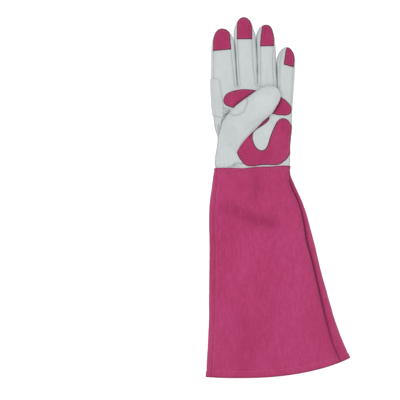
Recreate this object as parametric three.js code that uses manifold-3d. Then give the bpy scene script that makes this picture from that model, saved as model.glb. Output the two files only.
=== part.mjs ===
// A long-cuffed gardening glove for the left hand, lying on its back with the palm up.
// White goatskin hand, pink suede pads on palm and fingertips, pink suede arm cuff.
// Millimetres. +X runs from thumb side to little finger, +Y from cuff to fingertips, +Z up.

import * as THREE from "three";
import { mergeVertices } from "three/addons/utils/BufferGeometryUtils.js";
import Module from "manifold-3d";

const wasm = await Module();
wasm.setup();

// Leather
const GOATSKIN = 1.4; // wall of the hand and thumb
const SUEDE = 1.6; // wall of the arm cuff
const PATCH = 1.2; // pads and patches sewn on top
const GAP = 0.3; // space left between two pieces that are sewn together

// Shape of every cross-section: a tube of leather that has sunk flat under its own weight
const FOLD_AT = 0.42; // height of the side fold, as a share of the whole height
const SIDE_POWER = 0.8; // under 1 makes the sides blunter than an ellipse
const TOP_POWER = 0.8; // under 1 makes the top flatter than an ellipse
const PRESSED = 2.5; // how much of the underside the floor has pressed flat

// Seams
const SEAM_HEIGHT = 8; // lower edge of the palm panel, inside every hollow of the hand
const BODY_SEAM = 2.6; // palm panel's edge, in from the hand's outline
const TIP_SEAM = 2.4; // palm panel's edge, in from a fingertip
const NARROWEST_LOBE = 5; // where a finger is narrower than this its part of the palm panel ends
const STRIP_ROOT = 6; // how far the point of a strip runs into the hand below its crotch
const STRIP_SHOULDER = 1; // and where its edges start to close on that point
const HEM = 9; // depth of the turned hem at the cuff's mouth
const HEM_LAYERS = 1.8; // how much thicker the hem is than the cuff
const MOUTH_SKEW = 0.3; // how much lower the mouth hangs on its wide side

// The hand below the fingers, a row for each section: edges of the outline, underside, top,
// and how far the gathers of the wrist lift its back.
const HAND = [
  { y: 31, left: -79.7, right: 14.0, low: 2.0, high: 17.6, gather: 1.6 },
  { y: 39, left: -79.7, right: 14.0, low: 2.0, high: 17.6, gather: 2.4 },
  { y: 46, left: -80.9, right: 15.6, low: 1.5, high: 18.4, gather: 2.2 },
  { y: 55, left: -80.6, right: 16.6, low: 0.2, high: 18.8, gather: 0.9 },
  { y: 66, left: -78.9, right: 17.0, low: 0, high: 19.2, gather: 0 },
  { y: 78, left: -78.2, right: 18.0, low: 0, high: 19.8, gather: 0 },
  { y: 91, left: -82.4, right: 19.0, low: 0, high: 20.2, gather: 0 },
  { y: 104, left: -84.0, right: 19.4, low: 0, high: 20.2, gather: 0 },
  { y: 116, left: -85.2, right: 19.4, low: 0, high: 19.6, gather: 0 },
  { y: 130, left: -86.2, right: 20.2, low: 0, high: 18.4, gather: 0 },
  { y: 142, left: -86.5, right: 21.1, low: 0, high: 16.6, gather: 0 },
  { y: 148, left: -85.6, right: 20.6, low: 0.8, high: 14.6, gather: 0 },
];

// The four fingers, from the hand to the tip. seamLeft and seamRight say how far in from the
// outline the palm panel's edge lies, and sides where the strips between the fingers end.
const FINGERS = {
  index: {
    seamLeft: 2.7,
    seamRight: 5.4,
    stripEnd: 209,
    sections: [
      { y: 134, left: -84.0, right: -55.5, low: 0, high: 15.0 },
      { y: 154, left: -86.7, right: -53.4, low: 0, high: 15.8 },
      { y: 175, left: -86.4, right: -54.9, low: 0, high: 16.0 },
      { y: 195, left: -86.2, right: -55.6, low: 0, high: 16.0 },
      { y: 205, left: -85.0, right: -57.4, low: 0, high: 14.8 },
      { y: 212, left: -82.6, right: -60.3, low: 0.4, high: 13.2 },
      { y: 217, left: -79.4, right: -64.4, low: 1.6, high: 11.4 },
      { y: 219.8, left: -75.6, right: -68.6, low: 3.2, high: 9.4 },
    ],
  },
  middle: {
    seamLeft: 2.8,
    seamRight: 5.3,
    stripEnd: 222,
    sections: [
      { y: 134, left: -51.0, right: -28.5, low: 0, high: 15.0 },
      { y: 155, left: -52.6, right: -27.0, low: 0, high: 16.2 },
      { y: 179, left: -54.0, right: -27.7, low: 0, high: 16.6 },
      { y: 199, left: -55.1, right: -28.2, low: 0, high: 16.4 },
      { y: 212, left: -57.2, right: -28.8, low: 0, high: 15.6 },
      { y: 223, left: -55.6, right: -32.4, low: 0.2, high: 14.2 },
      { y: 230, left: -52.0, right: -35.8, low: 1.4, high: 12.2 },
      { y: 234.2, left: -47.8, right: -40.6, low: 3.2, high: 9.4 },
    ],
  },
  ring: {
    seamLeft: 4.0,
    seamRight: 3.9,
    stripEnd: 212,
    sections: [
      { y: 134, left: -24.5, right: -4.0, low: 0, high: 15.0 },
      { y: 155, left: -25.6, right: -1.9, low: 0, high: 16.0 },
      { y: 175, left: -26.7, right: -2.2, low: 0, high: 16.2 },
      { y: 199, left: -27.1, right: -3.0, low: 0, high: 15.8 },
      { y: 209, left: -27.6, right: -3.8, low: 0, high: 15.0 },
      { y: 216, left: -26.4, right: -5.8, low: 0.4, high: 13.6 },
      { y: 221.4, left: -23.4, right: -8.4, low: 1.6, high: 11.6 },
      { y: 224.6, left: -18.6, right: -11.6, low: 3.2, high: 9.2 },
    ],
  },
  little: {
    seamLeft: 5.5,
    seamRight: 2.6,
    stripEnd: 182,
    sections: [
      { y: 130, left: 1.0, right: 18.5, low: 0, high: 14.6 },
      { y: 144, left: 0.6, right: 20.6, low: 0, high: 15.0 },
      { y: 159, left: -0.6, right: 22.0, low: 0, high: 15.2 },
      { y: 171, left: -1.1, right: 23.0, low: 0, high: 15.0 },
      { y: 179, left: -0.6, right: 23.2, low: 0, high: 14.4 },
      { y: 187, left: 1.2, right: 21.6, low: 0.4, high: 13.0 },
      { y: 192.6, left: 4.6, right: 18.2, low: 1.6, high: 11.0 },
      { y: 195.8, left: 8.4, right: 14.6, low: 3.0, high: 8.8 },
    ],
  },
};

// The three strips between the fingers, each with the depth of its crotch.
const STRIPS = [
  { left: "index", right: "middle", crotch: 146.5 },
  { left: "middle", right: "ring", crotch: 147.5 },
  { left: "ring", right: "little", crotch: 143.5 },
];

// The thumb: its centre line rises out of the hand and lies across the palm.
const THUMB = [
  { x: -57.6, y: 50.0, z: 11.0, width: 24, height: 11.0 },
  { x: -57.8, y: 60.0, z: 12.6, width: 31, height: 13.4 },
  { x: -57.4, y: 72.0, z: 14.8, width: 36, height: 15.4 },
  { x: -55.4, y: 84.0, z: 18.2, width: 39, height: 15.6 },
  { x: -50.2, y: 94.4, z: 22.4, width: 40.5, height: 16.0 },
  { x: -42.2, y: 103.2, z: 26.2, width: 40, height: 16.0 },
  { x: -32.7, y: 111.6, z: 28.8, width: 38.4, height: 15.6 },
  { x: -23.5, y: 119.4, z: 29.6, width: 36.4, height: 15.2 },
  { x: -15.3, y: 126.6, z: 29.6, width: 33.4, height: 14.4 },
  { x: -8.8, y: 132.6, z: 29.0, width: 28.7, height: 12.8 },
  { x: -4.6, y: 136.5, z: 28.4, width: 21.5, height: 10.2 },
  { x: -2.0, y: 138.9, z: 27.8, width: 12, height: 6.4 },
];

// The arm cuff from wrist to mouth. Its sections slant: each has its own height along the hand
// at both ends and a sag between them. seamLeft and seamRight are the side seams, in from the edge.
const CUFF = [
  { left: -82.1, leftY: 38.6, right: 16.3, rightY: 41.2, sag: 0, high: 19.8, seamLeft: 3.0, seamRight: 3.0 },
  { left: -83.1, leftY: 29.8, right: 16.6, rightY: 29.8, sag: 0, high: 20.2, seamLeft: 4.4, seamRight: 3.2 },
  { left: -84.8, leftY: 15.9, right: 22.7, rightY: 15.4, sag: 0, high: 21.2, seamLeft: 5.6, seamRight: 4.8 },
  { left: -88.0, leftY: -6.0, right: 32.6, rightY: -6.0, sag: 0.3, high: 22.6, seamLeft: 6.4, seamRight: 4.8 },
  { left: -89.2, leftY: -30, right: 40.0, rightY: -29, sag: 0.8, high: 23.6, seamLeft: 6.6, seamRight: 6.2 },
  { left: -88.7, leftY: -57, right: 46.6, rightY: -55, sag: 1.6, high: 24.2, seamLeft: 6.6, seamRight: 8.6 },
  { left: -88.5, leftY: -88, right: 53.6, rightY: -84, sag: 2.6, high: 24.6, seamLeft: 6.6, seamRight: 7.9 },
  { left: -88.5, leftY: -117, right: 60.3, rightY: -110, sag: 3.8, high: 24.8, seamLeft: 6.6, seamRight: 8.8 },
  { left: -88.6, leftY: -146, right: 67.4, rightY: -136, sag: 5.2, high: 24.8, seamLeft: 6.6, seamRight: 9.6 },
  { left: -89.4, leftY: -175, right: 74.4, rightY: -161, sag: 6.8, high: 24.6, seamLeft: 6.6, seamRight: 10.4 },
  { left: -91.2, leftY: -205, right: 83.2, rightY: -186, sag: 8.6, high: 24.2, seamLeft: 6.6, seamRight: 12.0 },
  { left: -93.4, leftY: -233, right: 93.9, rightY: -208, sag: 10.6, high: 23.6, seamLeft: 6.6, seamRight: 12.6 },
];

// Dents pressed into the upper side: centre, half length and half width, direction and depth.
const DENTS = [
  { x: -34, y: 110, length: 34, width: 17, turn: 42, depth: 2.4 }, // the thumb resting on the palm
  { x: -30, y: 57, length: 36, width: 8, turn: 4, depth: 1.2 }, // crease across the wrist
  { x: -49, y: -18, length: 34, width: 9, turn: -16, depth: 3.2 }, // diagonal dent in the cuff
  { x: -28, y: 16, length: 20, width: 6, turn: 92, depth: 2.0 }, // fold below the wrist seam
  { x: 20, y: -70, length: 60, width: 12, turn: 100, depth: 1.8 }, // long hollow along the cuff
  { x: -40, y: -150, length: 55, width: 20, turn: 84, depth: 1.6 },
];

// Closed outlines of the pads and patches, seen from above.
const UPPER_PAD = [
  { x: -70.6, y: 126.8 },
  { x: -68.0, y: 133.6 },
  { x: -60.0, y: 138.2 },
  { x: -46.0, y: 140.8 },
  { x: -28.9, y: 138.8 },
  { x: -10.0, y: 134.6 },
  { x: 6.0, y: 130.0 },
  { x: 16.2, y: 123.0 },
  { x: 17.6, y: 114.0 },
  { x: 10.8, y: 107.4 },
  { x: -2.0, y: 107.6 },
  { x: -18.0, y: 112.0 },
  { x: -38.0, y: 114.4 },
  { x: -58.0, y: 116.6 },
  { x: -68.6, y: 120.6 },
];
const LOWER_PAD = [
  { x: 6.2, y: 103.4 },
  { x: -1.0, y: 99.2 },
  { x: -6.9, y: 88.2 },
  { x: -11.6, y: 72.8 },
  { x: -17.7, y: 62.8 },
  { x: -24.6, y: 62.2 },
  { x: -30.2, y: 69.6 },
  { x: -32.4, y: 80.6 },
  { x: -27.6, y: 88.8 },
  { x: -18.6, y: 94.2 },
  { x: -11.2, y: 101.0 },
  { x: -13.4, y: 107.2 },
  { x: -24.0, y: 106.8 },
  { x: -38.0, y: 96.0 },
  { x: -48.0, y: 78.0 },
  { x: -52.2, y: 60.6 },
  { x: -46.0, y: 46.0 },
  { x: -33.0, y: 42.6 },
  { x: -12.0, y: 43.6 },
  { x: 2.0, y: 44.6 },
  { x: 12.0, y: 52.0 },
  { x: 16.4, y: 66.0 },
  { x: 17.6, y: 86.0 },
  { x: 14.0, y: 98.6 },
];
const SIDE_PATCH = [
  { x: -92, y: 155.0 },
  { x: -77.0, y: 154.6 },
  { x: -74.6, y: 151.0 },
  { x: -73.6, y: 134.0 },
  { x: -70.8, y: 118.4 },
  { x: -72.6, y: 105.4 },
  { x: -82.0, y: 105.6 },
  { x: -92, y: 106.4 },
];
const CROTCH_PATCH = [
  { x: -62.8, y: 111.8 },
  { x: -60.0, y: 106.8 },
  { x: -50.0, y: 107.0 },
  { x: -44.4, y: 110.4 },
  { x: -41.2, y: 119.4 },
  { x: -41.0, y: 130.0 },
  { x: -66.0, y: 130.0 },
];

// Pads on the fingertips: lower edge at each side, and how far in the long edges lie.
const FINGERTIP_PADS = {
  index: { leftY: 190.4, rightY: 192.4, insetLeft: 2.8, insetRight: 5.6 },
  middle: { leftY: 205.6, rightY: 205.6, insetLeft: 2.4, insetRight: 5.2 },
  ring: { leftY: 196.6, rightY: 196.6, insetLeft: 4.2, insetRight: 2.8 },
  little: { leftY: 172.8, rightY: 169.6, insetLeft: 7.4, insetRight: 2.0 },
};
const PAD_LOW = 8.6; // the pads end here on their way down over the tips
const SIDE_PATCH_LOW = 4; // the side patch turns further down

// How finely the curved forms are divided
const FINGER_SIDES = 14;
const HAND_SIDES = 30;
const THUMB_SIDES = 14;
const FINGER_RINGS = 9;
const HAND_RINGS = 11;
const THUMB_RINGS = 13;
const CUFF_RINGS = 13;
const CUFF_PALM_COLUMNS = 13;
const CUFF_BACK_COLUMNS = 18;
const OUTLINE_POINTS = 28;
const ABOVE = 60; // higher than anything on the glove
const OVERRUN = 5; // how far a cutting form runs out of an open end

const goatskin = new THREE.MeshStandardMaterial({ color: 0xcdd2d1, roughness: 0.62, metalness: 0 });
const patchSkin = new THREE.MeshStandardMaterial({ color: 0xd4d9d8, roughness: 0.6, metalness: 0 });
const padSuede = new THREE.MeshStandardMaterial({ color: 0xb33f72, roughness: 0.95, metalness: 0 });
const cuffSuede = new THREE.MeshStandardMaterial({ color: 0xb03e70, roughness: 0.95, metalness: 0 });

const signedPower = (value, power) => Math.sign(value) * Math.abs(value) ** power;

// The row at a share t of the way along a table, every column eased between its neighbours.
function rowAt(rows, t) {
  const last = rows.length - 1;
  const index = Math.min(Math.floor(t * last), last - 1);
  const share = t * last - index;
  const near = [-1, 0, 1, 2].map((step) => rows[THREE.MathUtils.clamp(index + step, 0, last)]);
  const row = {};
  for (const column of Object.keys(rows[0])) {
    const [before, from, to, after] = near.map((each) => each[column]);
    const curve = new THREE.SplineCurve([
      new THREE.Vector2(0, before),
      new THREE.Vector2(1, from),
      new THREE.Vector2(2, to),
      new THREE.Vector2(3, after),
    ]);
    row[column] = curve.getPoint((1 + share) / 3).y;
  }
  return row;
}

const rowsAlong = (rows, count) =>
  Array.from({ length: count }, (_, i) => rowAt(rows, i / (count - 1)));

// How far the upper side is pressed in at a place seen from above.
function dentAt(x, y) {
  let depth = 0;
  for (const dent of DENTS) {
    const turn = THREE.MathUtils.degToRad(dent.turn);
    const along = (x - dent.x) * Math.cos(turn) + (y - dent.y) * Math.sin(turn);
    const across = (y - dent.y) * Math.cos(turn) - (x - dent.x) * Math.sin(turn);
    depth += dent.depth * Math.exp(-((along / dent.length) ** 2) - (across / dent.width) ** 2);
  }
  return depth;
}

// A solid from vertices and triangles that close on themselves, turned to face out.
function solidFrom(vertices, triangles) {
  let volume = 0;
  for (let i = 0; i < triangles.length; i += 3) {
    const [a, b, c] = [0, 1, 2].map((k) => vertices[triangles[i + k]]);
    volume += a.dot(b.clone().cross(c));
  }
  const faces = volume < 0 ? [...triangles].reverse() : triangles;
  return new wasm.Manifold(
    new wasm.Mesh({
      numProp: 3,
      vertProperties: new Float32Array(vertices.flatMap((v) => [v.x, v.y, v.z])),
      triVerts: new Uint32Array(faces),
    }),
  );
}

// A solid stretched over rings of points, closed at both ends.
function loft(rings) {
  const sides = rings[0].length;
  const vertices = rings.flat();
  const triangles = [];
  for (let r = 0; r < rings.length - 1; r++) {
    for (let k = 0; k < sides; k++) {
      const here = r * sides + k;
      const next = r * sides + ((k + 1) % sides);
      triangles.push(here, here + sides, next, next, here + sides, next + sides);
    }
  }
  for (const end of [0, rings.length - 1]) {
    const centre = new THREE.Vector3();
    for (const point of rings[end]) centre.addScaledVector(point, 1 / sides);
    const hub = vertices.push(centre) - 1;
    for (let k = 0; k < sides; k++) {
      const here = end * sides + k;
      const next = end * sides + ((k + 1) % sides);
      triangles.push(...(end === 0 ? [hub, here, next] : [hub, next, here]));
    }
  }
  return solidFrom(vertices, triangles);
}

// A straight-sided block over an outline seen from above.
function block(outline, low, high) {
  const shape = new THREE.Shape(outline.map((p) => new THREE.Vector2(p.x, p.y)));
  const extruded = new THREE.ExtrudeGeometry(shape, { depth: high - low, bevelEnabled: false });
  extruded.translate(0, 0, low);
  extruded.deleteAttribute("normal");
  extruded.deleteAttribute("uv");
  const merged = mergeVertices(extruded, 1e-4);
  return new wasm.Manifold(
    new wasm.Mesh({
      numProp: 3,
      vertProperties: merged.attributes.position.array,
      triVerts: new Uint32Array(merged.index.array),
    }),
  );
}

// The same with its outline rounded through the points of a table.
function roundedBlock(points, low, high) {
  const curve = new THREE.CatmullRomCurve3(
    points.map((p) => new THREE.Vector3(p.x, p.y, 0)),
    true,
    "centripetal",
  );
  return block(curve.getPoints(OUTLINE_POINTS).slice(0, -1), low, high);
}

// One cross-section of hand or finger, grown or shrunk all round.
function sectionRing(row, grow, sides, tipShare = 0) {
  const middle = (row.left + row.right) / 2;
  const half = (row.right - row.left) / 2 + grow;
  const low = Math.max(row.low, 0);
  const fold = THREE.MathUtils.lerp(low, row.high, FOLD_AT);
  const ring = [];
  for (let k = 0; k < sides; k++) {
    const angle = (k / sides) * 2 * Math.PI;
    const up = Math.sin(angle);
    const x = middle + half * signedPower(Math.cos(angle), SIDE_POWER);
    const y = row.y + grow * tipShare;
    let z = fold;
    if (up > 0) {
      z += (row.high + grow - fold) * up ** TOP_POWER - dentAt(x, y) * up;
    } else {
      z -= (fold - low + grow + PRESSED) * (-up) ** TOP_POWER;
      const pleat = k % 2 === 0 ? Math.max(row.gather ?? 0, 0) : 0;
      z = Math.max(z, low - grow) + pleat * (-up) ** TOP_POWER;
    }
    ring.push(new THREE.Vector3(x, y, z));
  }
  return ring;
}

// The hand below the fingers, run out at its wrist by the overrun.
function handBody(grow, overrun = 0) {
  const rows = rowsAlong(HAND, HAND_RINGS);
  rows[0].y -= overrun;
  return loft(rows.map((row, i) => sectionRing(row, grow, HAND_SIDES, i === HAND_RINGS - 1 ? 1 : 0)));
}

// One finger. It grows along its length too, but only where it narrows to the tip.
function finger(name, grow) {
  const rows = rowsAlong(FINGERS[name].sections, FINGER_RINGS);
  const widest = Math.max(...rows.map((row) => row.right - row.left));
  const rings = rows.map((row, i) => {
    const narrowed = 1 - (row.right - row.left) / widest;
    return sectionRing(row, grow, FINGER_SIDES, i > FINGER_RINGS / 2 ? narrowed : 0);
  });
  return loft(rings);
}

function wholeHand(grow, overrun = 0) {
  let hand = handBody(grow, overrun);
  for (const name of Object.keys(FINGERS)) hand = hand.add(finger(name, grow));
  return hand;
}

// The thumb, its sections square to its centre line, run out at its root by the overrun.
function thumb(grow, overrun = 0) {
  const rows = rowsAlong(THUMB, THUMB_RINGS);
  const centres = rows.map((row) => new THREE.Vector3(row.x, row.y, row.z));
  const rings = rows.map((row, i) => {
    const from = centres[Math.max(i - 1, 0)];
    const to = centres[Math.min(i + 1, rows.length - 1)];
    const along = to.clone().sub(from).normalize();
    const side = new THREE.Vector3(along.y, -along.x, 0).normalize();
    const up = side.clone().cross(along);
    const centre = centres[i].clone();
    if (i === 0) centre.addScaledVector(along, -overrun);
    if (i === rows.length - 1) centre.addScaledVector(along, grow);
    const points = [];
    for (let k = 0; k < THUMB_SIDES; k++) {
      const angle = (k / THUMB_SIDES) * 2 * Math.PI;
      const across = (row.width / 2 + grow) * signedPower(Math.cos(angle), SIDE_POWER);
      const rise = (row.height / 2 + grow) * signedPower(Math.sin(angle), TOP_POWER);
      points.push(centre.clone().addScaledVector(side, across).addScaledVector(up, rise));
    }
    return points;
  });
  return loft(rings);
}

// Outline of one finger's part of the palm panel.
function fingerLobe(name, ease) {
  const { seamLeft, seamRight, sections } = FINGERS[name];
  const left = [];
  const right = [];
  for (const row of rowsAlong(sections, FINGER_RINGS)) {
    const width = row.right - row.left;
    const share = Math.min(1, (width - NARROWEST_LOBE) / (seamLeft + seamRight) / 2);
    if (share <= 0) continue;
    const y = Math.min(row.y, sections.at(-1).y - TIP_SEAM + ease);
    left.push({ x: row.left + seamLeft * share - ease, y });
    right.unshift({ x: row.right - seamRight * share + ease, y });
  }
  return [...left, ...right].reverse();
}

// The block that the palm panel fills: fingers and hand, above the side seams.
function palmRegion(ease) {
  const rows = rowsAlong(HAND, HAND_RINGS);
  const edge = [
    ...rows.map((row) => ({ x: row.right - BODY_SEAM + ease, y: row.y })),
    ...rows.map((row) => ({ x: row.left + BODY_SEAM - ease, y: row.y })).reverse(),
  ];
  edge[0].y -= OVERRUN;
  edge.at(-1).y -= OVERRUN;
  let region = block(edge, SEAM_HEIGHT - ease, ABOVE);
  for (const name of Object.keys(FINGERS)) {
    region = region.add(block(fingerLobe(name, ease), SEAM_HEIGHT - ease, ABOVE));
  }
  return region;
}

// The block that one strip between two fingers fills, from crotch to fingertips.
function stripRegion({ left, right, crotch }, ease) {
  const leftFinger = FINGERS[left];
  const rightFinger = FINGERS[right];
  const aboveCrotch = ({ sections, stripEnd }) =>
    rowsAlong(sections, FINGER_RINGS).filter((row) => row.y > crotch + 2 && row.y < stripEnd);
  const leftRows = aboveCrotch(leftFinger);
  const rightRows = aboveCrotch(rightFinger);
  const outline = [];
  const root = crotch - STRIP_ROOT - ease;
  const shoulder = crotch - STRIP_SHOULDER - ease;
  const bottomLeft = leftRows[0].right - leftFinger.seamRight - ease;
  const bottomRight = rightRows[0].left + rightFinger.seamLeft + ease;
  outline.push({ x: (bottomLeft + bottomRight) / 2, y: root });
  outline.push({ x: bottomRight, y: shoulder });
  for (const row of rightRows) {
    outline.push({ x: row.left + rightFinger.seamLeft + ease, y: row.y });
  }
  outline.push({ x: outline.at(-1).x, y: rightFinger.stripEnd + ease });
  const between = (y) => {
    const nearest = (rows) => rows.reduce((a, b) => (Math.abs(b.y - y) < Math.abs(a.y - y) ? b : a));
    return (nearest(leftRows).right + nearest(rightRows).left) / 2;
  };
  const lower = Math.min(leftFinger.stripEnd, rightFinger.stripEnd);
  const upper = Math.max(leftFinger.stripEnd, rightFinger.stripEnd);
  if (rightFinger.stripEnd > leftFinger.stripEnd) {
    outline.push({ x: rightRows.at(-1).left - 2, y: upper + ease });
    outline.push({ x: between(lower), y: lower + ease });
  } else {
    outline.push({ x: between(lower), y: lower + ease });
    outline.push({ x: leftRows.at(-1).right + 2, y: upper + ease });
  }
  outline.push({ x: leftRows.at(-1).right - leftFinger.seamRight - ease, y: leftFinger.stripEnd + ease });
  for (const row of leftRows.reverse()) {
    outline.push({ x: row.right - leftFinger.seamRight - ease, y: row.y });
  }
  outline.push({ x: bottomLeft, y: shoulder });
  return block(outline, -ABOVE, ABOVE);
}

// A patch of leather lying on a form: the skin between two grown copies of it, cut to an outline.
const patchOn = (form, region) => form(GAP + PATCH).subtract(form(GAP)).intersect(region);

// A pad over the end of a finger, straight along its lower edge and round the tip.
function fingertipPad(name) {
  const { leftY, rightY, insetLeft, insetRight } = FINGERTIP_PADS[name];
  const rows = rowsAlong(FINGERS[name].sections, FINGER_RINGS).filter((row) => row.y > leftY + 4);
  const tip = FINGERS[name].sections.at(-1);
  const first = rows[0];
  const outline = [
    { x: first.left + insetLeft, y: leftY },
    { x: first.right - insetRight, y: rightY },
  ];
  const lean = (row) => Math.min(1, (row.right - row.left) / (first.right - first.left));
  for (const row of rows) outline.push({ x: row.right - insetRight * lean(row), y: row.y });
  outline.push({ x: tip.right, y: tip.y + 4 }, { x: tip.left, y: tip.y + 4 });
  for (const row of rows.reverse()) outline.push({ x: row.left + insetLeft * lean(row), y: row.y });
  return patchOn((grow) => finger(name, grow), block(outline, PAD_LOW, ABOVE));
}

// A point on the cuff at an angle round its section, on its outer face or a depth inside it.
function cuffPoint(row, angle, depth) {
  const half = (row.right - row.left) / 2;
  const cross = signedPower(Math.cos(angle), SIDE_POWER);
  const x = (row.left + row.right) / 2 + (half - depth) * cross;
  const share = (cross + 1) / 2;
  const y = THREE.MathUtils.lerp(row.leftY, row.rightY, share) - row.sag * (1 - cross ** 2) * (1 + MOUTH_SKEW * cross);
  const fold = row.high * FOLD_AT;
  const up = Math.sin(angle);
  let z = fold;
  if (up > 0) z += (row.high - depth - fold) * up ** TOP_POWER - dentAt(x, y) * up;
  else z = Math.max(depth, z - (fold - depth + PRESSED) * (-up) ** TOP_POWER);
  return new THREE.Vector3(x, y, z);
}

// The angle round a section at which a seam lies this far in from the edge.
function seamAngle(row, inset) {
  const half = (row.right - row.left) / 2;
  return Math.acos((1 - inset / half) ** (1 / SIDE_POWER));
}

// Sections of the cuff with two close ones where the hem's inner edge makes a step.
function cuffRows() {
  const last = CUFF.at(-1);
  const before = CUFF.at(-2);
  const hemShare = 1 - HEM / (before.leftY - last.leftY) / (CUFF.length - 1);
  const shares = [];
  for (let i = 0; i < CUFF_RINGS; i++) shares.push((i / (CUFF_RINGS - 1)) * (hemShare - 0.002));
  const rows = shares.map((t) => ({ ...rowAt(CUFF, t), depth: SUEDE }));
  for (const t of [hemShare, 1]) rows.push({ ...rowAt(CUFF, t), depth: SUEDE * HEM_LAYERS });
  return rows;
}

// One panel of the cuff: a wall between two angles round each section.
function cuffPanel(columns, angles) {
  const rows = cuffRows();
  const vertices = [];
  for (const row of rows) {
    const [start, end] = angles(row);
    for (let c = 0; c <= columns; c++) {
      const angle = THREE.MathUtils.lerp(start, end, c / columns);
      vertices.push(cuffPoint(row, angle, 0), cuffPoint(row, angle, row.depth));
    }
  }
  const at = (r, c, inner) => (r * (columns + 1) + c) * 2 + inner;
  const triangles = [];
  const quad = (a, b, c, d) => triangles.push(a, b, c, a, c, d);
  for (let r = 0; r < rows.length - 1; r++) {
    for (let c = 0; c < columns; c++) {
      quad(at(r, c, 0), at(r, c + 1, 0), at(r + 1, c + 1, 0), at(r + 1, c, 0));
      quad(at(r, c, 1), at(r + 1, c, 1), at(r + 1, c + 1, 1), at(r, c + 1, 1));
    }
    quad(at(r, 0, 0), at(r + 1, 0, 0), at(r + 1, 0, 1), at(r, 0, 1));
    quad(at(r, columns, 0), at(r, columns, 1), at(r + 1, columns, 1), at(r + 1, columns, 0));
  }
  const end = rows.length - 1;
  for (let c = 0; c < columns; c++) {
    quad(at(0, c, 0), at(0, c, 1), at(0, c + 1, 1), at(0, c + 1, 0));
    quad(at(end, c, 0), at(end, c + 1, 0), at(end, c + 1, 1), at(end, c, 1));
  }
  return solidFrom(vertices, triangles);
}

const glove = new THREE.Group();

function add(name, solid, material) {
  const { vertProperties, triVerts } = solid.getMesh();
  const geometry = new THREE.BufferGeometry();
  geometry.setAttribute("position", new THREE.BufferAttribute(vertProperties, 3));
  geometry.setIndex(new THREE.BufferAttribute(triVerts, 1));
  geometry.computeVertexNormals();
  const mesh = new THREE.Mesh(geometry, material);
  mesh.name = name;
  glove.add(mesh);
}

// The hand: one hollow form, open at the wrist, cut along its seams.
const handShell = wholeHand(0).subtract(wholeHand(-GOATSKIN, OVERRUN));
let strips = null;
for (const strip of STRIPS) {
  const region = stripRegion(strip, GAP);
  strips = strips ? strips.add(region) : region;
}
const thumbHollow = thumb(-GOATSKIN, OVERRUN);
const palmPanel = handShell.intersect(palmRegion(0)).subtract(strips).subtract(thumbHollow);
const backPanel = handShell.subtract(palmRegion(GAP)).subtract(strips);
add("palm_panel", palmPanel, goatskin);
add("back_panel", backPanel, goatskin);
for (const strip of STRIPS) {
  add(`fourchette_${strip.left}_${strip.right}`, handShell.intersect(stripRegion(strip, 0)), goatskin);
}

// The thumb stands on the palm round a hole of its own and opens through it into the hand.
add("thumb", thumb(0).subtract(thumbHollow).subtract(wholeHand(GAP)), goatskin);

// Patches and pads.
const sidePatch = patchOn(wholeHand, roundedBlock(SIDE_PATCH, SIDE_PATCH_LOW, ABOVE));
const thumbSpace = thumb(GAP);
add("index_side_patch", sidePatch.subtract(thumbSpace), patchSkin);
const crotchPatch = patchOn(thumb, roundedBlock(CROTCH_PATCH, SEAM_HEIGHT, ABOVE));
add("thumb_crotch_patch", crotchPatch.subtract(wholeHand(GAP + PATCH + GAP)), patchSkin);
for (const name of Object.keys(FINGERTIP_PADS)) {
  add(`fingertip_pad_${name}`, fingertipPad(name), padSuede);
}
for (const [name, outline] of Object.entries({ palm_pad_upper: UPPER_PAD, palm_pad_lower: LOWER_PAD })) {
  const pad = patchOn(handBody, roundedBlock(outline, PAD_LOW, ABOVE));
  add(name, pad.subtract(thumbSpace), padSuede);
}

// The cuff: palm side and back, meeting at the side seams.
const palmAngles = (row) => [
  Math.PI - seamAngle(row, row.seamLeft + GAP / 2),
  seamAngle(row, row.seamRight + GAP / 2),
];
const backAngles = (row) => [
  Math.PI - seamAngle(row, row.seamLeft - GAP / 2),
  2 * Math.PI + seamAngle(row, row.seamRight - GAP / 2),
];
add("cuff_palm_panel", cuffPanel(CUFF_PALM_COLUMNS, palmAngles), cuffSuede);
add("cuff_back_panel", cuffPanel(CUFF_BACK_COLUMNS, backAngles), cuffSuede);

// The origin is under the middle of the glove.
const bounds = new THREE.Box3().setFromObject(glove);
const centre = bounds.getCenter(new THREE.Vector3());
glove.position.set(-centre.x, -centre.y, -bounds.min.z);

export default glove;
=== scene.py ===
import math

import bmesh
import bpy
import numpy as np
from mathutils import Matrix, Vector, noise
from mathutils.bvhtree import BVHTree
from mathutils.geometry import delaunay_2d_cdt
from mathutils.kdtree import KDTree


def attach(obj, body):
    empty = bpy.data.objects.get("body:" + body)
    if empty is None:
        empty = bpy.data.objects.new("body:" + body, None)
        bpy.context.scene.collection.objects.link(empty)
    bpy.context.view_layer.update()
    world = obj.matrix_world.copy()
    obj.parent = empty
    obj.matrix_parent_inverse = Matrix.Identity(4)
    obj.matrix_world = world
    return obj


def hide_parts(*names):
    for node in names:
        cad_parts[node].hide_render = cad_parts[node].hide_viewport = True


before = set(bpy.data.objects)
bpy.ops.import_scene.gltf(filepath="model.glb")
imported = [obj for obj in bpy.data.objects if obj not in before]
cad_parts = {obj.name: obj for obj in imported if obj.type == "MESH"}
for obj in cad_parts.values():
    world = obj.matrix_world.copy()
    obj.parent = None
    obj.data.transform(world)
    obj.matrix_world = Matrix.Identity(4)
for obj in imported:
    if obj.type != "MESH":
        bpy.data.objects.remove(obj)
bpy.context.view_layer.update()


# The form of the white hand.
# Thin smooth goatskin: a palm piece and a back piece that run up every finger, with a folded strip
# let in between each two fingers. It lies on its back, so the leather is pressed flat underneath.
# All sizes are millimetres of the pattern: x across, y up to the fingertips, z up out of the palm.
PLACE = np.array([-0.06, -0.88, 0.0])  # from the pattern's own middle to the middle of the glove
LEFT, RIGHT = 1, 2  # columns of the tables below
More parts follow.
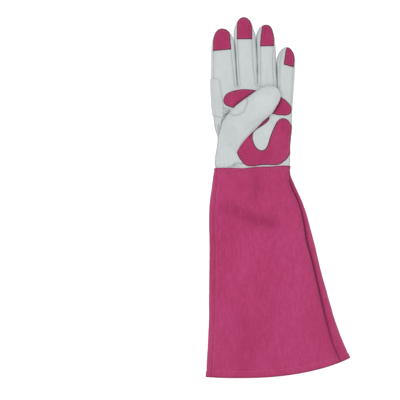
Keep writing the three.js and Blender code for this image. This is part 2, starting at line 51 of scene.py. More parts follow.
PANEL, BACK, STRIP = 1, 2, 3  # palm, back and the first strip; the other strips count on
BLUNT = 0.8  # under 1 makes a lying tube of leather blunter than an ellipse
FINGER_BLUNT = 0.62  # the fingers, pressed against each other, are squarer
FOLD_HEIGHT = 0.42  # height of the side fold, as a share of the whole height
SINK = 2.5  # how far the underside would go below the floor that presses it flat
SKY, DOWN = 90, Vector((0, 0, -1))  # a height above the whole glove, and the way down from it

# y, left edge, right edge, underside, top
HAND_ROWS = [
    (31, -79.9, 14.2, 2.0, 17.6), (37.4, -80.3, 14.6, 2.0, 17.6), (42, -82.2, 16.2, 1.4, 18.2),
    (48, -82.3, 16.6, 1.0, 18.6), (56, -81.3, 17.0, 0.2, 18.8), (66, -79.5, 17.2, 0, 19.2),
    (78, -78.8, 18.1, 0, 19.8), (91, -82.4, 19.2, 0, 20.2), (104, -84.2, 19.6, 0, 20.2),
    (116, -85.3, 19.7, 0, 19.6), (130, -86.3, 20.5, 0, 18.4), (142, -86.7, 21.3, 0, 16.9),
    (152, -86.7, 21.6, 0, 16.4),
]
FINGER_ROWS = {
    "index": [
        (134, -84.2, -51.4, 0, 15.0), (154, -86.9, -52.9, 0, 15.8), (175, -86.6, -54.25, 0, 16.0),
        (195, -86.4, -55.5, 0, 16.0), (205, -85.3, -57.1, 0, 15.0), (212, -83.0, -60.0, 0.4, 13.4),
        (217.2, -79.9, -63.8, 1.6, 11.6), (219.9, -76.0, -67.8, 3.0, 9.4), (220.7, -72.0, -71.9, 5.4, 6.6),
    ],
    "middle": [
        (134, -51.2, -25.7, 0, 15.0), (155, -52.95, -26.4, 0, 16.2), (179, -54.5, -26.65, 0, 16.6),
        (199, -55.8, -27.75, 0, 16.4), (212, -57.4, -28.8, 0, 15.8), (223, -55.8, -32.2, 0.2, 14.4),
        (230.6, -52.0, -35.6, 1.4, 12.2), (234.4, -48.4, -40.0, 3.0, 9.6), (235.5, -44.2, -44.1, 5.6, 6.8),
    ],
    "ring": [
        (134, -25.5, -0.4, 0, 15.0), (155, -26.3, -0.95, 0, 16.0), (175, -26.55, -1.75, 0, 16.2),
        (199, -27.7, -2.6, 0, 15.8), (209, -28.0, -3.6, 0, 15.2), (216, -26.6, -5.6, 0.4, 13.8),
        (221.8, -23.6, -8.0, 1.6, 11.8), (225.1, -19.2, -11.2, 3.0, 9.4), (225.9, -15.1, -15.0, 5.4, 6.6),
    ],
    "little": [
        (130, -0.2, 19.0, 0, 14.6), (144, -0.4, 21.0, 0, 15.0), (159, -1.0, 22.4, 0, 15.2),
        (171, -1.5, 23.2, 0, 15.0), (179, -1.2, 23.4, 0, 14.6), (187, 1.0, 21.8, 0.4, 13.2),
        (193.2, 4.7, 18.2, 1.6, 11.2), (196.2, 8.8, 14.8, 3.0, 8.8), (196.9, 11.8, 11.9, 5.0, 6.2),
    ],
}
FINGERS = list(FINGER_ROWS)
# between each two fingers: y of the crotch, how high its strip runs on the left and on the right one
CROTCHES = [(145.8, 217, 231), (147.3, 231, 222), (143.2, 221, 193)]
CROTCH_X = (-54, -26, -1)
CROTCH_VALLEY = (2, 8)  # how far the leather lies down between the fingers, and more at the crotch
# y from a crotch over which that valley deepens, and over which the fingers part from the hand
VALLEY_RUN, PARTING_RUN = (-3, 0.5), (-15, -0.5)
BESIDE_UNDER = 6.0  # height of the underside beside the fingers
BODY_TOP, FINGER_START = 152, 140  # the last row of the hand, and the first of the fingers
# the index finger is as wide as the hand where it leaves it: y, and its left edge there
INDEX_ROOT_Y, INDEX_ROOT_X = (142, 156), (-86.7, -80)


def eased(rows, shares):
    """Rows of a table at shares of its length, every column eased between its neighbours."""
    rows = np.asarray(rows, float)
    last = len(rows) - 1
    place = np.clip(np.asarray(shares, float) * last, 0, last - 1e-9)
    step = np.floor(place).astype(int)
    f = (place - step)[:, None]
    before, a, b, after = (rows[np.clip(step + k, 0, last)] for k in (-1, 0, 1, 2))
    pull_a, pull_b = (b - before) / 2, (after - a) / 2
    cube, square = 2 * a - 2 * b + pull_a + pull_b, 3 * b - 3 * a - 2 * pull_a - pull_b
    return cube * f**3 + square * f**2 + pull_a * f + a


def smooth_step(value, low, high):
    """0 below low, 1 above high, and a soft rise between them."""
    share = np.clip((np.asarray(value, float) - low) / (high - low), 0, 1)
    return share * share * (3 - 2 * share)


def bell(away, width):
    """1 on a line and soft to nothing at about twice the width away from it."""
    return np.exp(-((away / width) ** 2))


hand_table = eased(HAND_ROWS, np.linspace(0, 1, 400))
finger_tables = {name: eased(rows, np.linspace(0, 1, 600)) for name, rows in FINGER_ROWS.items()}


def looked_up(table, y):
    """Left edge, right edge, underside and top of a table at heights y along the hand."""
    return [np.interp(y, table[:, 0], table[:, k]) for k in (1, 2, 3, 4)]


def kept_above(height, softness):
    """A height over a floor, turned up softly where it would go below it."""
    return 0.5 * (height + np.sqrt(height**2 + softness))


def lying_tube(x, left, right, low, high, blunt=BLUNT):
    """Upper and lower height of a tube of leather that lies on the floor, at places across it."""
    middle, half = (left + right) / 2, np.maximum((right - left) / 2, 1e-3)
    across = np.clip(np.abs(x - middle) / half, 0, 1) ** (1 / blunt)
    rise = np.sqrt(np.clip(1 - across**2, 0, 1)) ** blunt
    fold = low + (high - low) * FOLD_HEIGHT
    under = fold - (fold - low + SINK) * rise
    return fold + (high - fold) * rise, low + kept_above(under - low, 0.5)


def hand_heights(x, y):
    """Upper and lower height of the whole hand at places seen from above."""
    body = lying_tube(x, *looked_up(hand_table, np.minimum(y, BODY_TOP)))
    top, under = np.zeros_like(x), np.full_like(x, SKY)
    for table in finger_tables.values():
        left, right, low, high = looked_up(table, np.clip(y, FINGER_START, table[-1, 0]))
        root = np.minimum(left, np.interp(y, INDEX_ROOT_Y, INDEX_ROOT_X))
        left = np.where(left < INDEX_ROOT_X[1], root, left)
        mine = lying_tube(x, left, right, low, high, FINGER_BLUNT)
        inside = (x > left) & (x < right)
        top = np.maximum(top, np.where(inside, mine[0], low + (high - low) * FOLD_HEIGHT))
        under = np.minimum(under, np.where(inside, mine[1], BESIDE_UNDER))
    crotch = np.interp(x, CROTCH_X, [c[0] for c in CROTCHES])
    valley = CROTCH_VALLEY[0] + CROTCH_VALLEY[1] * smooth_step(y - crotch, *VALLEY_RUN)
    top, under = np.maximum(top, body[0] - valley), np.minimum(under, body[1] + valley)
    share = smooth_step(y - crotch, *PARTING_RUN)
    return body[0] + (top - body[0]) * share, body[1] + (under - body[1]) * share


# The outline of the hand and its seam.
# Once round from the wrist on the thumb side, up and down every finger. The palm piece ends at a
# seam a little inside the outline; on the fingers the seam runs where its own rows say.
# y, left seam, right seam
SEAM_ROWS = {
    "index": [
        (147, -84.0, -55.6), (153, -84.0, -56.2), (165, -83.9, -57.8), (185, -84.0, -59.9),
        (193, -84.2, -60.7), (203, -84.6, -61.7), (210, -83.4, -62.3), (222, -82.0, -63.0),
    ],
    "middle": [
        (149, -49.3, -29.6), (157, -50.1, -30.0), (169, -51.2, -31.6), (189, -52.2, -32.7),
        (206, -53.0, -33.5), (226, -52.6, -33.8), (236, -52.6, -33.8),
    ],
    "ring": [
        (149, -22.5, -4.6), (161, -22.8, -5.8), (173, -22.9, -6.6), (190, -22.9, -5.6),
        (197, -22.9, -5.0), (210, -22.1, -5.0), (218, -20.6, -5.4), (227, -20.4, -5.6),
    ],
    "little": [
        (144, 2.6, 20.0), (157, 2.4, 21.2), (170, 2.2, 22.4), (180, 2.8, 22.7), (187, 5.0, 21.8),
        (198, 7.0, 21.0),
    ],
}
SEAM_ROWS_START = 143
BODY_INSET, TIP_INSET = 2.6, 1.1  # from the outline to the seam
HEEL_INSET = 1.1  # the seam lies nearer the edge below the thumb
STRIP_POINT = 3.4  # how far the point of a strip runs into the hand below its crotch
CROTCH_CLEAR, CROTCH_TURN = 0.6, 0.6  # from a crotch up to where its edges start; depth of their turn
TIP_RUN = (26, 6)  # below the tip, where the seam comes nearer the outline
HEEL_RUN = (88, 116)
# where the edge of the hand goes over into that of the outer fingers
OUTER_JOIN = {LEFT: (140, 156), RIGHT: (142, 158)}
RIM_PITCH = 1.1


def run_along(line):
    """How far along a line each of its points lies."""
    return np.concatenate([[0], np.cumsum(np.linalg.norm(np.diff(line, axis=0), axis=1))])


def read_off(line, run, places):
    """Every column of a line at places along its run."""
    return np.stack([np.interp(places, run, column) for column in line.T], axis=1)


def evenly(line, pitch):
    """A line laid out again at an even pitch, measured along its first two columns."""
    line = np.asarray(line, float)
    line = line[np.concatenate([[True], np.diff(run_along(line[:, :2])) > 1e-6])]
    run = run_along(line[:, :2])
    count = max(int(round(run[-1] / pitch)), 2) + 1
    return read_off(line, run, np.linspace(0, run[-1], count))


def eased_line(line, rounds):
    """A line with its small kinks taken out. Its ends stay."""
    line = line.copy()
    for _ in range(rounds):
        line[1:-1] = line[1:-1] * 0.5 + (line[:-2] + line[2:]) * 0.25
    return line


def finger_edge(name, side, crotch):
    """One side of a finger: from its crotch, or for an outer side from the wrist, up to its tip."""
    table = finger_tables[name]
    if 0 <= crotch < len(CROTCHES):
        return table[table[:, 0] >= CROTCHES[crotch][0] + CROTCH_CLEAR][:, [side, 0]]
    body_end, finger_start = OUTER_JOIN[side]
    body = hand_table[hand_table[:, 0] < body_end]
    return np.concatenate([body, table[table[:, 0] >= finger_start]])[:, [side, 0]]


def outline_run(edge, name, side, owner):
    """A run of the outline with its seam: edge x, y; seam x, y; owner of the rim; finger."""
    forward = np.gradient(edge, axis=0)
    forward /= np.maximum(np.linalg.norm(forward, axis=1, keepdims=True), 1e-9)
    tip_y = finger_tables[name][-1, 0]
    near_tip = smooth_step(edge[:, 1], tip_y - TIP_RUN[0], tip_y - TIP_RUN[1])
    inset = BODY_INSET + (TIP_INSET - BODY_INSET) * near_tip
    inset -= (BODY_INSET - HEEL_INSET) * (1 - smooth_step(edge[:, 1], *HEEL_RUN))
    seam = edge + np.stack([forward[:, 1], -forward[:, 0]], axis=1) * inset[:, None]
    rows = np.array(SEAM_ROWS[name])
    wanted = np.interp(seam[:, 1], rows[:, 0], rows[:, side])
    limited = np.maximum(seam[:, 0], wanted) if side == LEFT else np.minimum(seam[:, 0], wanted)
    seam[:, 0] = np.where(edge[:, 1] > SEAM_ROWS_START, limited, seam[:, 0])
    line = evenly(np.column_stack([edge, seam]), RIM_PITCH)
    return np.column_stack([line, np.full(len(line), owner), np.full(len(line), FINGERS.index(name))])


def round_crotch(left_end, right_end, depth):
    """The turn of a line round a crotch, from one finger to the next."""
    turn = np.linspace(0, math.pi, 17)[1:-1]
    middle, radius = (left_end + right_end) / 2, (right_end[0] - left_end[0]) / 2
    return np.stack([middle[0] - radius * np.cos(turn), middle[1] - depth * np.sin(turn)], axis=1)


outline = []
for number, name in enumerate(FINGERS):
    for side, crotch in ((LEFT, number - 1), (RIGHT, number)):
        edge = finger_edge(name, side, crotch)
        strip_top = CROTCHES[crotch][3 - side] if 0 <= crotch < len(CROTCHES) else 0
        upward = [(edge[:, 1] < strip_top, STRIP + crotch), (edge[:, 1] >= strip_top, BACK)]
        for chosen, owner in upward if side == LEFT else upward[::-1]:
            if chosen.any():
                run = edge[chosen] if side == LEFT else edge[chosen][::-1]
                outline.append(outline_run(run, name, side, owner))
    if number < len(CROTCHES):
        after = FINGERS[number + 1]
        start_y = CROTCHES[number][0] + CROTCH_CLEAR
        table, rows = finger_tables[after], np.array(SEAM_ROWS[after])
        next_edge = np.array([np.interp(start_y, table[:, 0], table[:, LEFT]), start_y])
        next_seam = np.array([np.interp(start_y, rows[:, 0], rows[:, LEFT]), start_y])
        last = outline[-1][-1]
        turn_edge = round_crotch(last[0:2], next_edge, CROTCH_TURN)
        turn_seam = round_crotch(last[2:4], next_seam, STRIP_POINT)
        strip_number = np.full(len(turn_edge), STRIP + number)
        outline.append(np.column_stack([turn_edge, turn_seam, strip_number, -np.ones(len(turn_edge))]))
outline = np.concatenate(outline)
outline = outline[np.concatenate([[True], np.diff(run_along(outline[:, 0:2])) > 0.02])]
edge_line, seam_line = eased_line(outline[:, 0:2], 2), eased_line(outline[:, 2:4], 6)
owner_line, finger_line = outline[:, 4].astype(int), outline[:, 5].astype(int)


# The skin of the hand as one mesh.
# Palm side and back are filled inside the seam line, and a rim between them goes round the whole
# outline, turning down at the seam; each face knows which piece of leather it belongs to.
PANEL_PITCH = 1.2
PANEL_RINGS = (0.4, 0.9, 1.6)  # rings of points inside the seam line, in from it
RIM_STEPS = 14  # from the seam down to the side fold
FULL_TURN = 1.38
LEAST_FOLD = 5.4  # height of the side fold at the fingertips
STRIP_BLUNT, SIDE_BLUNT = 0.56, 0.74  # a strip turns down sharply at its fold, a side softly


def grounded(line):
    """A line seen from above as places at height nothing."""
    return np.column_stack([line, np.zeros(len(line))])


def tree_of(places):
    """A search tree of places."""
    tree = KDTree(len(places))
    for k, place in enumerate(places):
        tree.insert(place, k)
    tree.balance()
    return tree


def distance_to(line, points):
    """Distance of points to the nearest of a line's points."""
    tree = tree_of(line)
    return np.array([tree.find(p)[2] for p in points])


def inward_of(line, reach=1):
    """Directions square to a closed line, into what it goes round."""
    run = np.roll(line, -reach, axis=0) - np.roll(line, reach, axis=0)
    run /= np.maximum(np.linalg.norm(run, axis=1, keepdims=True), 1e-9)
    after = np.roll(line, -1, axis=0)
    area = np.sum(line[:, 0] * after[:, 1] - after[:, 0] * line[:, 1])
    return np.stack([-run[:, 1], run[:, 0]], axis=1) * np.sign(area)


def filled(line, pitch, rings):
    """Points and triangles that fill a closed line: rings of points along it, then an even net."""
    tree, inward = tree_of(grounded(line)), inward_of(line)
    points = line.tolist()
    for depth in rings:
        points += [p for p in (line + inward * depth).tolist() if tree.find((*p, 0))[2] > depth * 0.93]
    low, high = line.min(0), line.max(0)
    after = np.roll(line, -1, axis=0)
    for row, y in enumerate(np.arange(low[1], high[1], pitch * math.sqrt(3) / 2)):
        crossing = (line[:, 1] > y) != (after[:, 1] > y)
        a, b = line[crossing], after[crossing]
        cuts = np.sort(a[:, 0] + (y - a[:, 1]) * (b[:, 0] - a[:, 0]) / (b[:, 1] - a[:, 1]))
        for x in np.arange(low[0] + (row % 2) * pitch / 2, high[0], pitch):
            inside = np.searchsorted(cuts, x) % 2 == 1
            if inside and tree.find((x, y, 0))[2] > rings[-1] + pitch * 0.55:
                points.append((x, y))
    edges = [(k, (k + 1) % len(line)) for k in range(len(line))]
    made = delaunay_2d_cdt([Vector(p) for p in points], edges, [], 1, 1e-5)
    flat, faces = np.array([p[:] for p in made[0]]), np.array([f for f in made[2] if len(f) == 3])
    border = {source: k for k, sources in enumerate(made[3]) for source in sources}
    a, b, c = (flat[faces[:, k]] for k in range(3))
    turned = (b[:, 0] - a[:, 0]) * (c[:, 1] - a[:, 1]) - (b[:, 1] - a[:, 1]) * (c[:, 0] - a[:, 0])
    faces[turned < 0] = faces[turned < 0][:, ::-1]
    return flat, faces, np.array([border[k] for k in range(len(line))])


def mesh_object(name, points, faces):
    """A mesh object from points in millimetres of the pattern and its faces."""
    mesh = bpy.data.meshes.new(name)
    mesh.from_pydata((np.asarray(points) + PLACE) * 0.001, [], faces)
    thing = bpy.data.objects.new(name, mesh)
    bpy.context.collection.objects.link(thing)
    return thing


def face_outwards(thing):
    """All faces of a mesh turned outwards."""
    work = bmesh.new()
    work.from_mesh(thing.data)
    bmesh.ops.recalc_face_normals(work, faces=work.faces)
    work.to_mesh(thing.data)
    work.free()


wrist = evenly([seam_line[-1], seam_line[0]], 1.4)[1:-1]
flat, flat_faces, border = filled(np.concatenate([seam_line, wrist]), PANEL_PITCH, PANEL_RINGS)
top_heights, under_heights = hand_heights(flat[:, 0], flat[:, 1])
count, seam_count = len(flat), len(seam_line)
seam_places = border[:seam_count]
seam_top, seam_under = top_heights[seam_places], under_heights[seam_places]

# heights and reach of the rim at each step of its turn, blunter along the strips
blunt = eased_line(np.where(owner_line >= STRIP, STRIP_BLUNT, SIDE_BLUNT)[:, None], 10)
turns = FULL_TURN * np.arange(RIM_STEPS + 1)[None, :] / RIM_STEPS
reach = (1 - np.cos(turns) ** blunt) / (1 - math.cos(FULL_TURN) ** blunt)
lift = np.sin(turns) ** blunt / math.sin(FULL_TURN) ** blunt
fold_z = np.maximum(seam_under + (seam_top - seam_under) * FOLD_HEIGHT, LEAST_FOLD)
fold_z = eased_line(fold_z[:, None], 12)[:, 0]
rim = []
for side_z, steps in ((seam_top, range(RIM_STEPS - 1, -1, -1)), (seam_under, range(1, RIM_STEPS))):
    for k in steps:
        place = edge_line + (seam_line - edge_line) * reach[:, k : k + 1]
        rim.append(np.column_stack([place, fold_z + (side_z - fold_z) * lift[:, k]]))
rim = np.stack(rim, axis=1)  # place along the outline, place across the rim
inside = 2 * count + np.arange(rim.shape[0] * rim.shape[1]).reshape(rim.shape[:2])
rim_ids = np.column_stack([seam_places, inside, seam_places + count])
quads = np.stack([rim_ids[:-1, :-1], rim_ids[:-1, 1:], rim_ids[1:, 1:], rim_ids[1:, :-1]], axis=-1)

skins = [np.column_stack([flat, heights]) for heights in (top_heights, under_heights)]
hand = mesh_object(
    "hand_form",
    np.concatenate([*skins, rim.reshape(-1, 3)]),
    flat_faces.tolist() + (flat_faces[:, ::-1] + count).tolist() + quads.reshape(-1, 4).tolist(),
)
owners = [[PANEL] * len(flat_faces), [BACK] * len(flat_faces), np.repeat(owner_line[:-1], quads.shape[1])]
held = hand.data.attributes.new("part", "INT", "FACE")
held.data.foreach_set("value", np.concatenate(owners).astype(np.int32))
face_outwards(hand)


# The lie of the leather: seams, folds and the gathers of the wrist.
# The skin is eased where it turns, pulled into a narrow groove along every seam, and creased where
# the thumb and the elastic across the back of the wrist gather it.
SEAM_GROOVE = (0.5, 0.8)  # depth, half width
GATHER_Y, GATHER_PITCH, GATHER_REACH = 44.5, 5.2, 9
PALM_GATHER, BACK_GATHER = 0.2, 1.5  # their depths
FLOOR_CLEAR = 0.03  # how near to the floor the leather is pressed
# unevenness of the skin: depth, stretch across, along and up, size of the lumps, seed
HAND_LUMPS = [(0.28, (1.6, 0.7, 1), 11, 2), (0.10, (2.0, 0.9, 1), 4.5, 3)]
# folds seen on the palm side: path, half width, depth
PALM_FOLDS = [
    ([(-70.6, 104.4), (-72.6, 99), (-74.6, 86)], 1.7, 2.4),
    ([(-78.0, 98), (-77.6, 88), (-76.4, 76)], 1.8, 1.7),
    ([(-72, 104), (-66, 108), (-61.5, 111.8)], 1.7, 2.2),
    ([(-70, 112.6), (-66, 112), (-62, 113.4)], 1.3, 1.7),
    ([(-74, 118), (-67, 115.4), (-61, 114)], 1.3, 1.5),
    ([(-75, 110), (-69, 108.6), (-64.5, 110)], 1.3, 1.5),
    ([(-60, 41.5), (-52, 44.5), (-43, 43.5)], 1.5, 1.5),
    ([(-66, 38.5), (-56, 41), (-49, 40)], 1.4, 1.2),
    ([(-83, 128), (-78, 140), (-80, 156)], 3.0, 0.6),
    ([(-58, 141), (-64, 152), (-66, 168)], 3.4, 0.5),
    ([(-31, 146), (-36, 152), (-38, 166)], 3.6, 0.5),
    ([(-8, 142), (-12, 152), (-12, 170)], 3.2, 0.5),
    ([(16, 130), (11, 142), (10, 158)], 3.2, 0.6),
    ([(14, 58), (17, 70), (18, 88)], 2.6, 0.6),
    ([(-42, 144), (-50, 142.4), (-58, 142)], 3.6, 0.5),
]
# folds of the back: long diagonals from the thumb side to the wrist, and the gathers' tails
BACK_FOLDS = [
    ([(-85, 104), (-80, 90), (-76, 74), (-68, 58), (-64, 46)], 1.9, 1.5),
    ([(-75, 86), (-69, 73), (-61, 62), (-57, 47)], 1.5, 1.1),
    ([(-70, 100), (-60, 84), (-50, 70)], 3.6, 0.5),
    ([(-30, 82), (-32, 70), (-31, 60), (-33, 47)], 1.3, 1.3),
    ([(-25, 70), (-24, 60), (-27, 52), (-26, 46)], 1.2, 1.0),
    ([(-18, 60), (-17, 52), (-20, 45)], 1.4, 0.8),
    ([(-4, 58), (-6, 50), (-8, 45)], 1.4, 0.8),
    ([(8, 66), (5, 54), (4, 45)], 1.6, 0.9),
    ([(-50, 64), (-48, 54), (-46, 45)], 1.6, 0.9),
    ([(-42, 56), (-40, 50), (-41, 45)], 1.3, 0.8),
    ([(-55, 142), (-60, 150), (-62, 170)], 2.8, 0.5),
    ([(-28, 142), (-34, 150), (-34, 168)], 2.8, 0.5),
]


def threes(points, name):
    """The three numbers that each point of a mesh has under a name."""
    numbers = np.empty(len(points) * 3)
    points.foreach_get(name, numbers)
    return numbers.reshape(-1, 3)


def places_of(thing):
    """Points of a mesh in millimetres of the pattern."""
    return threes(thing.data.vertices, "co") * 1000 - PLACE


def normals_of(thing):
    """Which way each point of a mesh faces."""
    return threes(thing.data.vertex_normals, "vector")


def lay(thing, points):
    """The points of a mesh put at places in millimetres of the pattern."""
    thing.data.vertices.foreach_set("co", ((points + PLACE) * 0.001).ravel())
    thing.data.update()


def mark(thing, name, share):
    """A share for each point of a mesh, which the material of the piece reads by its name."""
    held = thing.data.attributes.get(name) or thing.data.attributes.new(name, "FLOAT", "POINT")
    held.data.foreach_set("value", np.clip(share, 0, 1).astype(np.float32))


def relaxed(thing, weights, rounds):
    """Points of a mesh drawn towards the middle of their neighbours, as much as their weights say."""
    pairs = np.empty(len(thing.data.edges) * 2, int)
    thing.data.edges.foreach_get("vertices", pairs)
    a, b = pairs.reshape(-1, 2).T
    points = places_of(thing)
    number = np.bincount(pairs, minlength=len(points))[:, None]
    for _ in range(rounds):
        total = np.zeros_like(points)
        np.add.at(total, a, points[b])
        np.add.at(total, b, points[a])
        points = points + (total / number - points) * (weights * 0.6)[:, None]
    lay(thing, points)


def stroke(points, path, width, depth):
    """How deep a fold drawn as a path seen from above presses in at each point."""
    path = np.asarray(path, float)
    nearest, fade = np.full(len(points), 1e9), np.ones(len(points))
    run = run_along(path)
    for a, b, start, end in zip(path[:-1], path[1:], run[:-1], run[1:]):
        length = end - start
        t = np.clip(((points[:, :2] - a) @ (b - a)) / length**2, 0, 1)
        away = np.linalg.norm(points[:, :2] - a - t[:, None] * (b - a), axis=1)
        share = (start + t * length) / run[-1]
        closer = away < nearest
        fade = np.where(closer, np.minimum(1, 5 * np.minimum(share, 1 - share) + 0.15), fade)
        nearest = np.minimum(nearest, away)
    return depth * fade * bell(nearest, width)


def strokes(points, folds):
    """How deep a list of folds presses in at each point."""
    return sum(stroke(points, *fold) for fold in folds)


def wandering(points, size, seed):
    """Soft unevenness between -1 and 1, in lumps of a size."""
    return np.array([noise.noise(Vector(p)) for p in points / size + seed * 17.3])


def lumps_of(points, layers):
    """Soft unevenness at each point, added up from layers of lumps."""
    return sum(depth * wandering(points * stretch, size, seed) for depth, stretch, size, seed in layers)


def bands(*lines):
    """Soft bands along lines, added up: distance of each point from a line, half width, strength."""
    return sum(strength * bell(away, width) for away, width, strength in lines)


def pressed_in(thing, spots, facing, press):
    """A piece pressed in square to its own face, and never below the floor."""
    moved = spots - facing * press[:, None]
    moved[:, 2] = np.maximum(moved[:, 2], FLOOR_CLEAR)
    lay(thing, moved)


# the skin eased round its seams and crotches, while its side folds stay
seam_upper, seam_lower = np.column_stack([seam_line, seam_top]), np.column_stack([seam_line, seam_under])
fold_line = np.column_stack([edge_line, fold_z])
crotch_x = [np.interp(c[0], t[:, 0], t[:, RIGHT]) + 1 for c, t in zip(CROTCHES, finger_tables.values())]
crotch_places = np.column_stack([crotch_x, [c[0] for c in CROTCHES]])
spots = places_of(hand)
near_seam = np.minimum(distance_to(seam_upper, spots), distance_to(seam_lower, spots))
near_crotch = distance_to(grounded(crotch_places), grounded(spots[:, :2]))
loose = smooth_step(distance_to(fold_line, spots), 0.3, 3.0)
relaxed(hand, np.maximum(bell(near_seam, 2.2), 0.7 * bell(near_crotch, 5)) * loose, 5)
relaxed(hand, 0.5 * loose, 2)

# how straight the seam runs at each of its points; only there its small kinks are taken out
ahead, behind = (np.roll(seam_line, shift, axis=0) - seam_line for shift in (-4, 4))
bent = 1 + np.sum(ahead * behind, axis=1) / np.linalg.norm(ahead, axis=1) / np.linalg.norm(behind, axis=1)
sharpest = np.max([np.roll(bent, shift) for shift in range(-3, 4)], axis=0)
straight = np.clip(eased_line(1 - sharpest[:, None] * 12, 6), 0, 1)


def even_seams(thing):
    """Takes the small kinks out of the seams of the hand, where they run straight."""
    points = places_of(thing)
    for run in (rim_ids[:, 0], rim_ids[:, -1]):
        points[run] += (eased_line(points[run], 10) - points[run]) * straight
    lay(thing, points)


even_seams(hand)
spots, facing = places_of(hand), normals_of(hand)
upper = smooth_step(facing[:, 2], -0.25, 0.25)
folded = strokes(spots, PALM_FOLDS) * upper + strokes(spots, BACK_FOLDS) * (1 - upper)
press = folded + 0.55 * wandering(spots, 26, 1) * smooth_step(spots[:, 1], 44, 70)
press += lumps_of(spots, HAND_LUMPS)
# gathers of the elastic sewn across the wrist
pleat = np.sin(spots[:, 0] * 2 * np.pi / GATHER_PITCH + 1.5 * wandering(spots, 9, 4))
tails = GATHER_REACH * (1 + np.clip(wandering(spots * [1, 0, 0], 6, 5) + 0.3, 0, 1))
pulled = bell(spots[:, 1] - GATHER_Y, tails)
press += PALM_GATHER * pleat * pulled * upper
press += BACK_GATHER * (0.5 + 0.5 * pleat) * pulled * (1 - upper)
# the sides that touch between the fingers stay even, and the seams are turned in
between = owner_line >= STRIP
from_fold = distance_to(fold_line[between], spots)
press *= 0.15 + 0.85 * smooth_step(from_fold, 1.0, 5.0)
groove_depth, groove_width = SEAM_GROOVE
groove_top, groove_under = distance_to(seam_upper, spots), distance_to(seam_lower[between], spots)
press += bands((groove_top, groove_width, groove_depth), (groove_under, groove_width, groove_depth))
pressed_in(hand, spots, facing, press)
even_seams(hand)

# painted shade in seams (with a little dirt), between fingers and in deep folds; knuckles yellowed a little
seam_shade = 0.3 * np.maximum(bell(groove_top, 0.7), bell(groove_under, 0.7))
finger_shade = 0.45 * np.exp(-((from_fold / 4.4) ** 4)) * smooth_step(np.abs(facing[:, 2]), 0.88, 0.3)
deep_shade = np.clip((folded - 0.55) / 2, 0, 1) * (0.4 + 0.5 * upper)
mark(hand, "crease", np.maximum(np.maximum(seam_shade, finger_shade), deep_shade))
yellowed = bell(spots[:, 1] - 116, 13) * (0.45 + 0.9 * wandering(spots, 22, 9)) * (1 - upper)
mark(hand, "stain", yellowed)


# The white goatskin.
# Full-grain goatskin: smooth with fine pores, softly cloudy in tone, satin, with painted shade in its
# creases, folds and seams, a little dirt along the seams, and a stain that has come on the knuckles.


def feed(tree, node, inputs):
    """The inputs of a node set to values, or linked to outputs of other nodes."""
    for socket, value in inputs.items():
        if isinstance(value, bpy.types.NodeSocket):
            tree.links.new(value, node.inputs[socket])
        else:
            node.inputs[socket].default_value = value


def node_in(tree, kind, inputs, **settings):
    """A new node of a material, with its inputs and its settings."""
    made = tree.nodes.new("ShaderNode" + kind)
    for name, setting in settings.items():
        setattr(made, name, setting)
    feed(tree, made, inputs)
    return made


def leather_material(name, tones, shade_and_dirt, lumps, grain, rough, sheen, stain=None):
    """Leather: clouds and streaks of tone, pores or nap with their bump, and painted shade and dirt where
    marked.
    """
    material = bpy.data.materials.new(name)
    material.use_nodes = True
    tree = material.node_tree
    where = node_in(tree, "TexCoord", {}).outputs["Object"]

    def cloud(scale, stretch, detail):
        spread = node_in(tree, "Mapping", {"Vector": where, "Scale": stretch}).outputs[0]
        shape = {"Vector": spread, "Scale": scale, "Detail": detail, "Roughness": 0.6}
        return node_in(tree, "TexNoise", shape).outputs["Fac"]

    def mixed(first, second, share):
        return node_in(tree, "Mix", {0: share, 2: first, 3: second}).outputs[0]

    def tinted(base, colour, attribute, blend):
        share = node_in(tree, "Attribute", {}, attribute_name=attribute).outputs["Fac"]
        inputs = {0: share, 6: base, 7: (*colour, 1)}
        return node_in(tree, "Mix", inputs, data_type="RGBA", blend_type=blend).outputs[2]

    broad_scale, streak_scale, streak_stretch, fine_scale = lumps
    streaks = cloud(streak_scale, streak_stretch, 4)
    broad, fine = cloud(broad_scale, (1, 0.6, 1), 3), cloud(fine_scale, (1, 1, 1), 3)
    tone = mixed(mixed(broad, streaks, 0.5), fine, 0.3)
    colours = node_in(tree, "ValToRGB", {"Fac": tone})
    ramp = colours.color_ramp
    ramp.elements.new(0.5)
    for element, position, colour in zip(ramp.elements, (0.36, 0.5, 0.64), tones):
        element.position = position
        element.color = (*colour, 1)
    # painted shade, and on the goatskin's seams a little dirt, mixed in by the crease share
    colour = tinted(colours.outputs["Color"], shade_and_dirt, "crease", "MIX")
    if stain:
        colour = tinted(colour, stain, "stain", "MULTIPLY")

    grain_scale, grain_depth = grain
    pores = node_in(tree, "TexVoronoi", {"Vector": where, "Scale": grain_scale}, feature="DISTANCE_TO_EDGE")
    height = mixed(pores.outputs["Distance"], cloud(grain_scale * 1.7, (1, 1, 1), 4), 0.6)
    bump = node_in(tree, "Bump", {"Strength": 0.7, "Distance": grain_depth, "Height": height})
    limits = {"Value": streaks, "From Min": 0.35, "From Max": 0.65, "To Min": rough[0], "To Max": rough[1]}
    worn = node_in(tree, "MapRange", limits)
    feed(tree, tree.nodes["Principled BSDF"], {
        "Base Color": colour, "Normal": bump.outputs["Normal"], "Roughness": worn.outputs["Result"],
        "Specular IOR Level": 0.35, "Sheen Roughness": 0.5, "Sheen Weight": sheen[0], "Sheen Tint": sheen[1],
    })
    return material


goatskin = leather_material(
    "white_goatskin", ((0.545, 0.580, 0.584), (0.592, 0.631, 0.636), (0.642, 0.681, 0.687)),
    shade_and_dirt=(0.17, 0.18, 0.175), lumps=(18, 90, (1, 0.5, 1), 520), grain=(1050, 0.0002),
    rough=(0.45, 0.6), sheen=(0.05, (1, 1, 1, 1)), stain=(1.0, 0.975, 0.88),
)


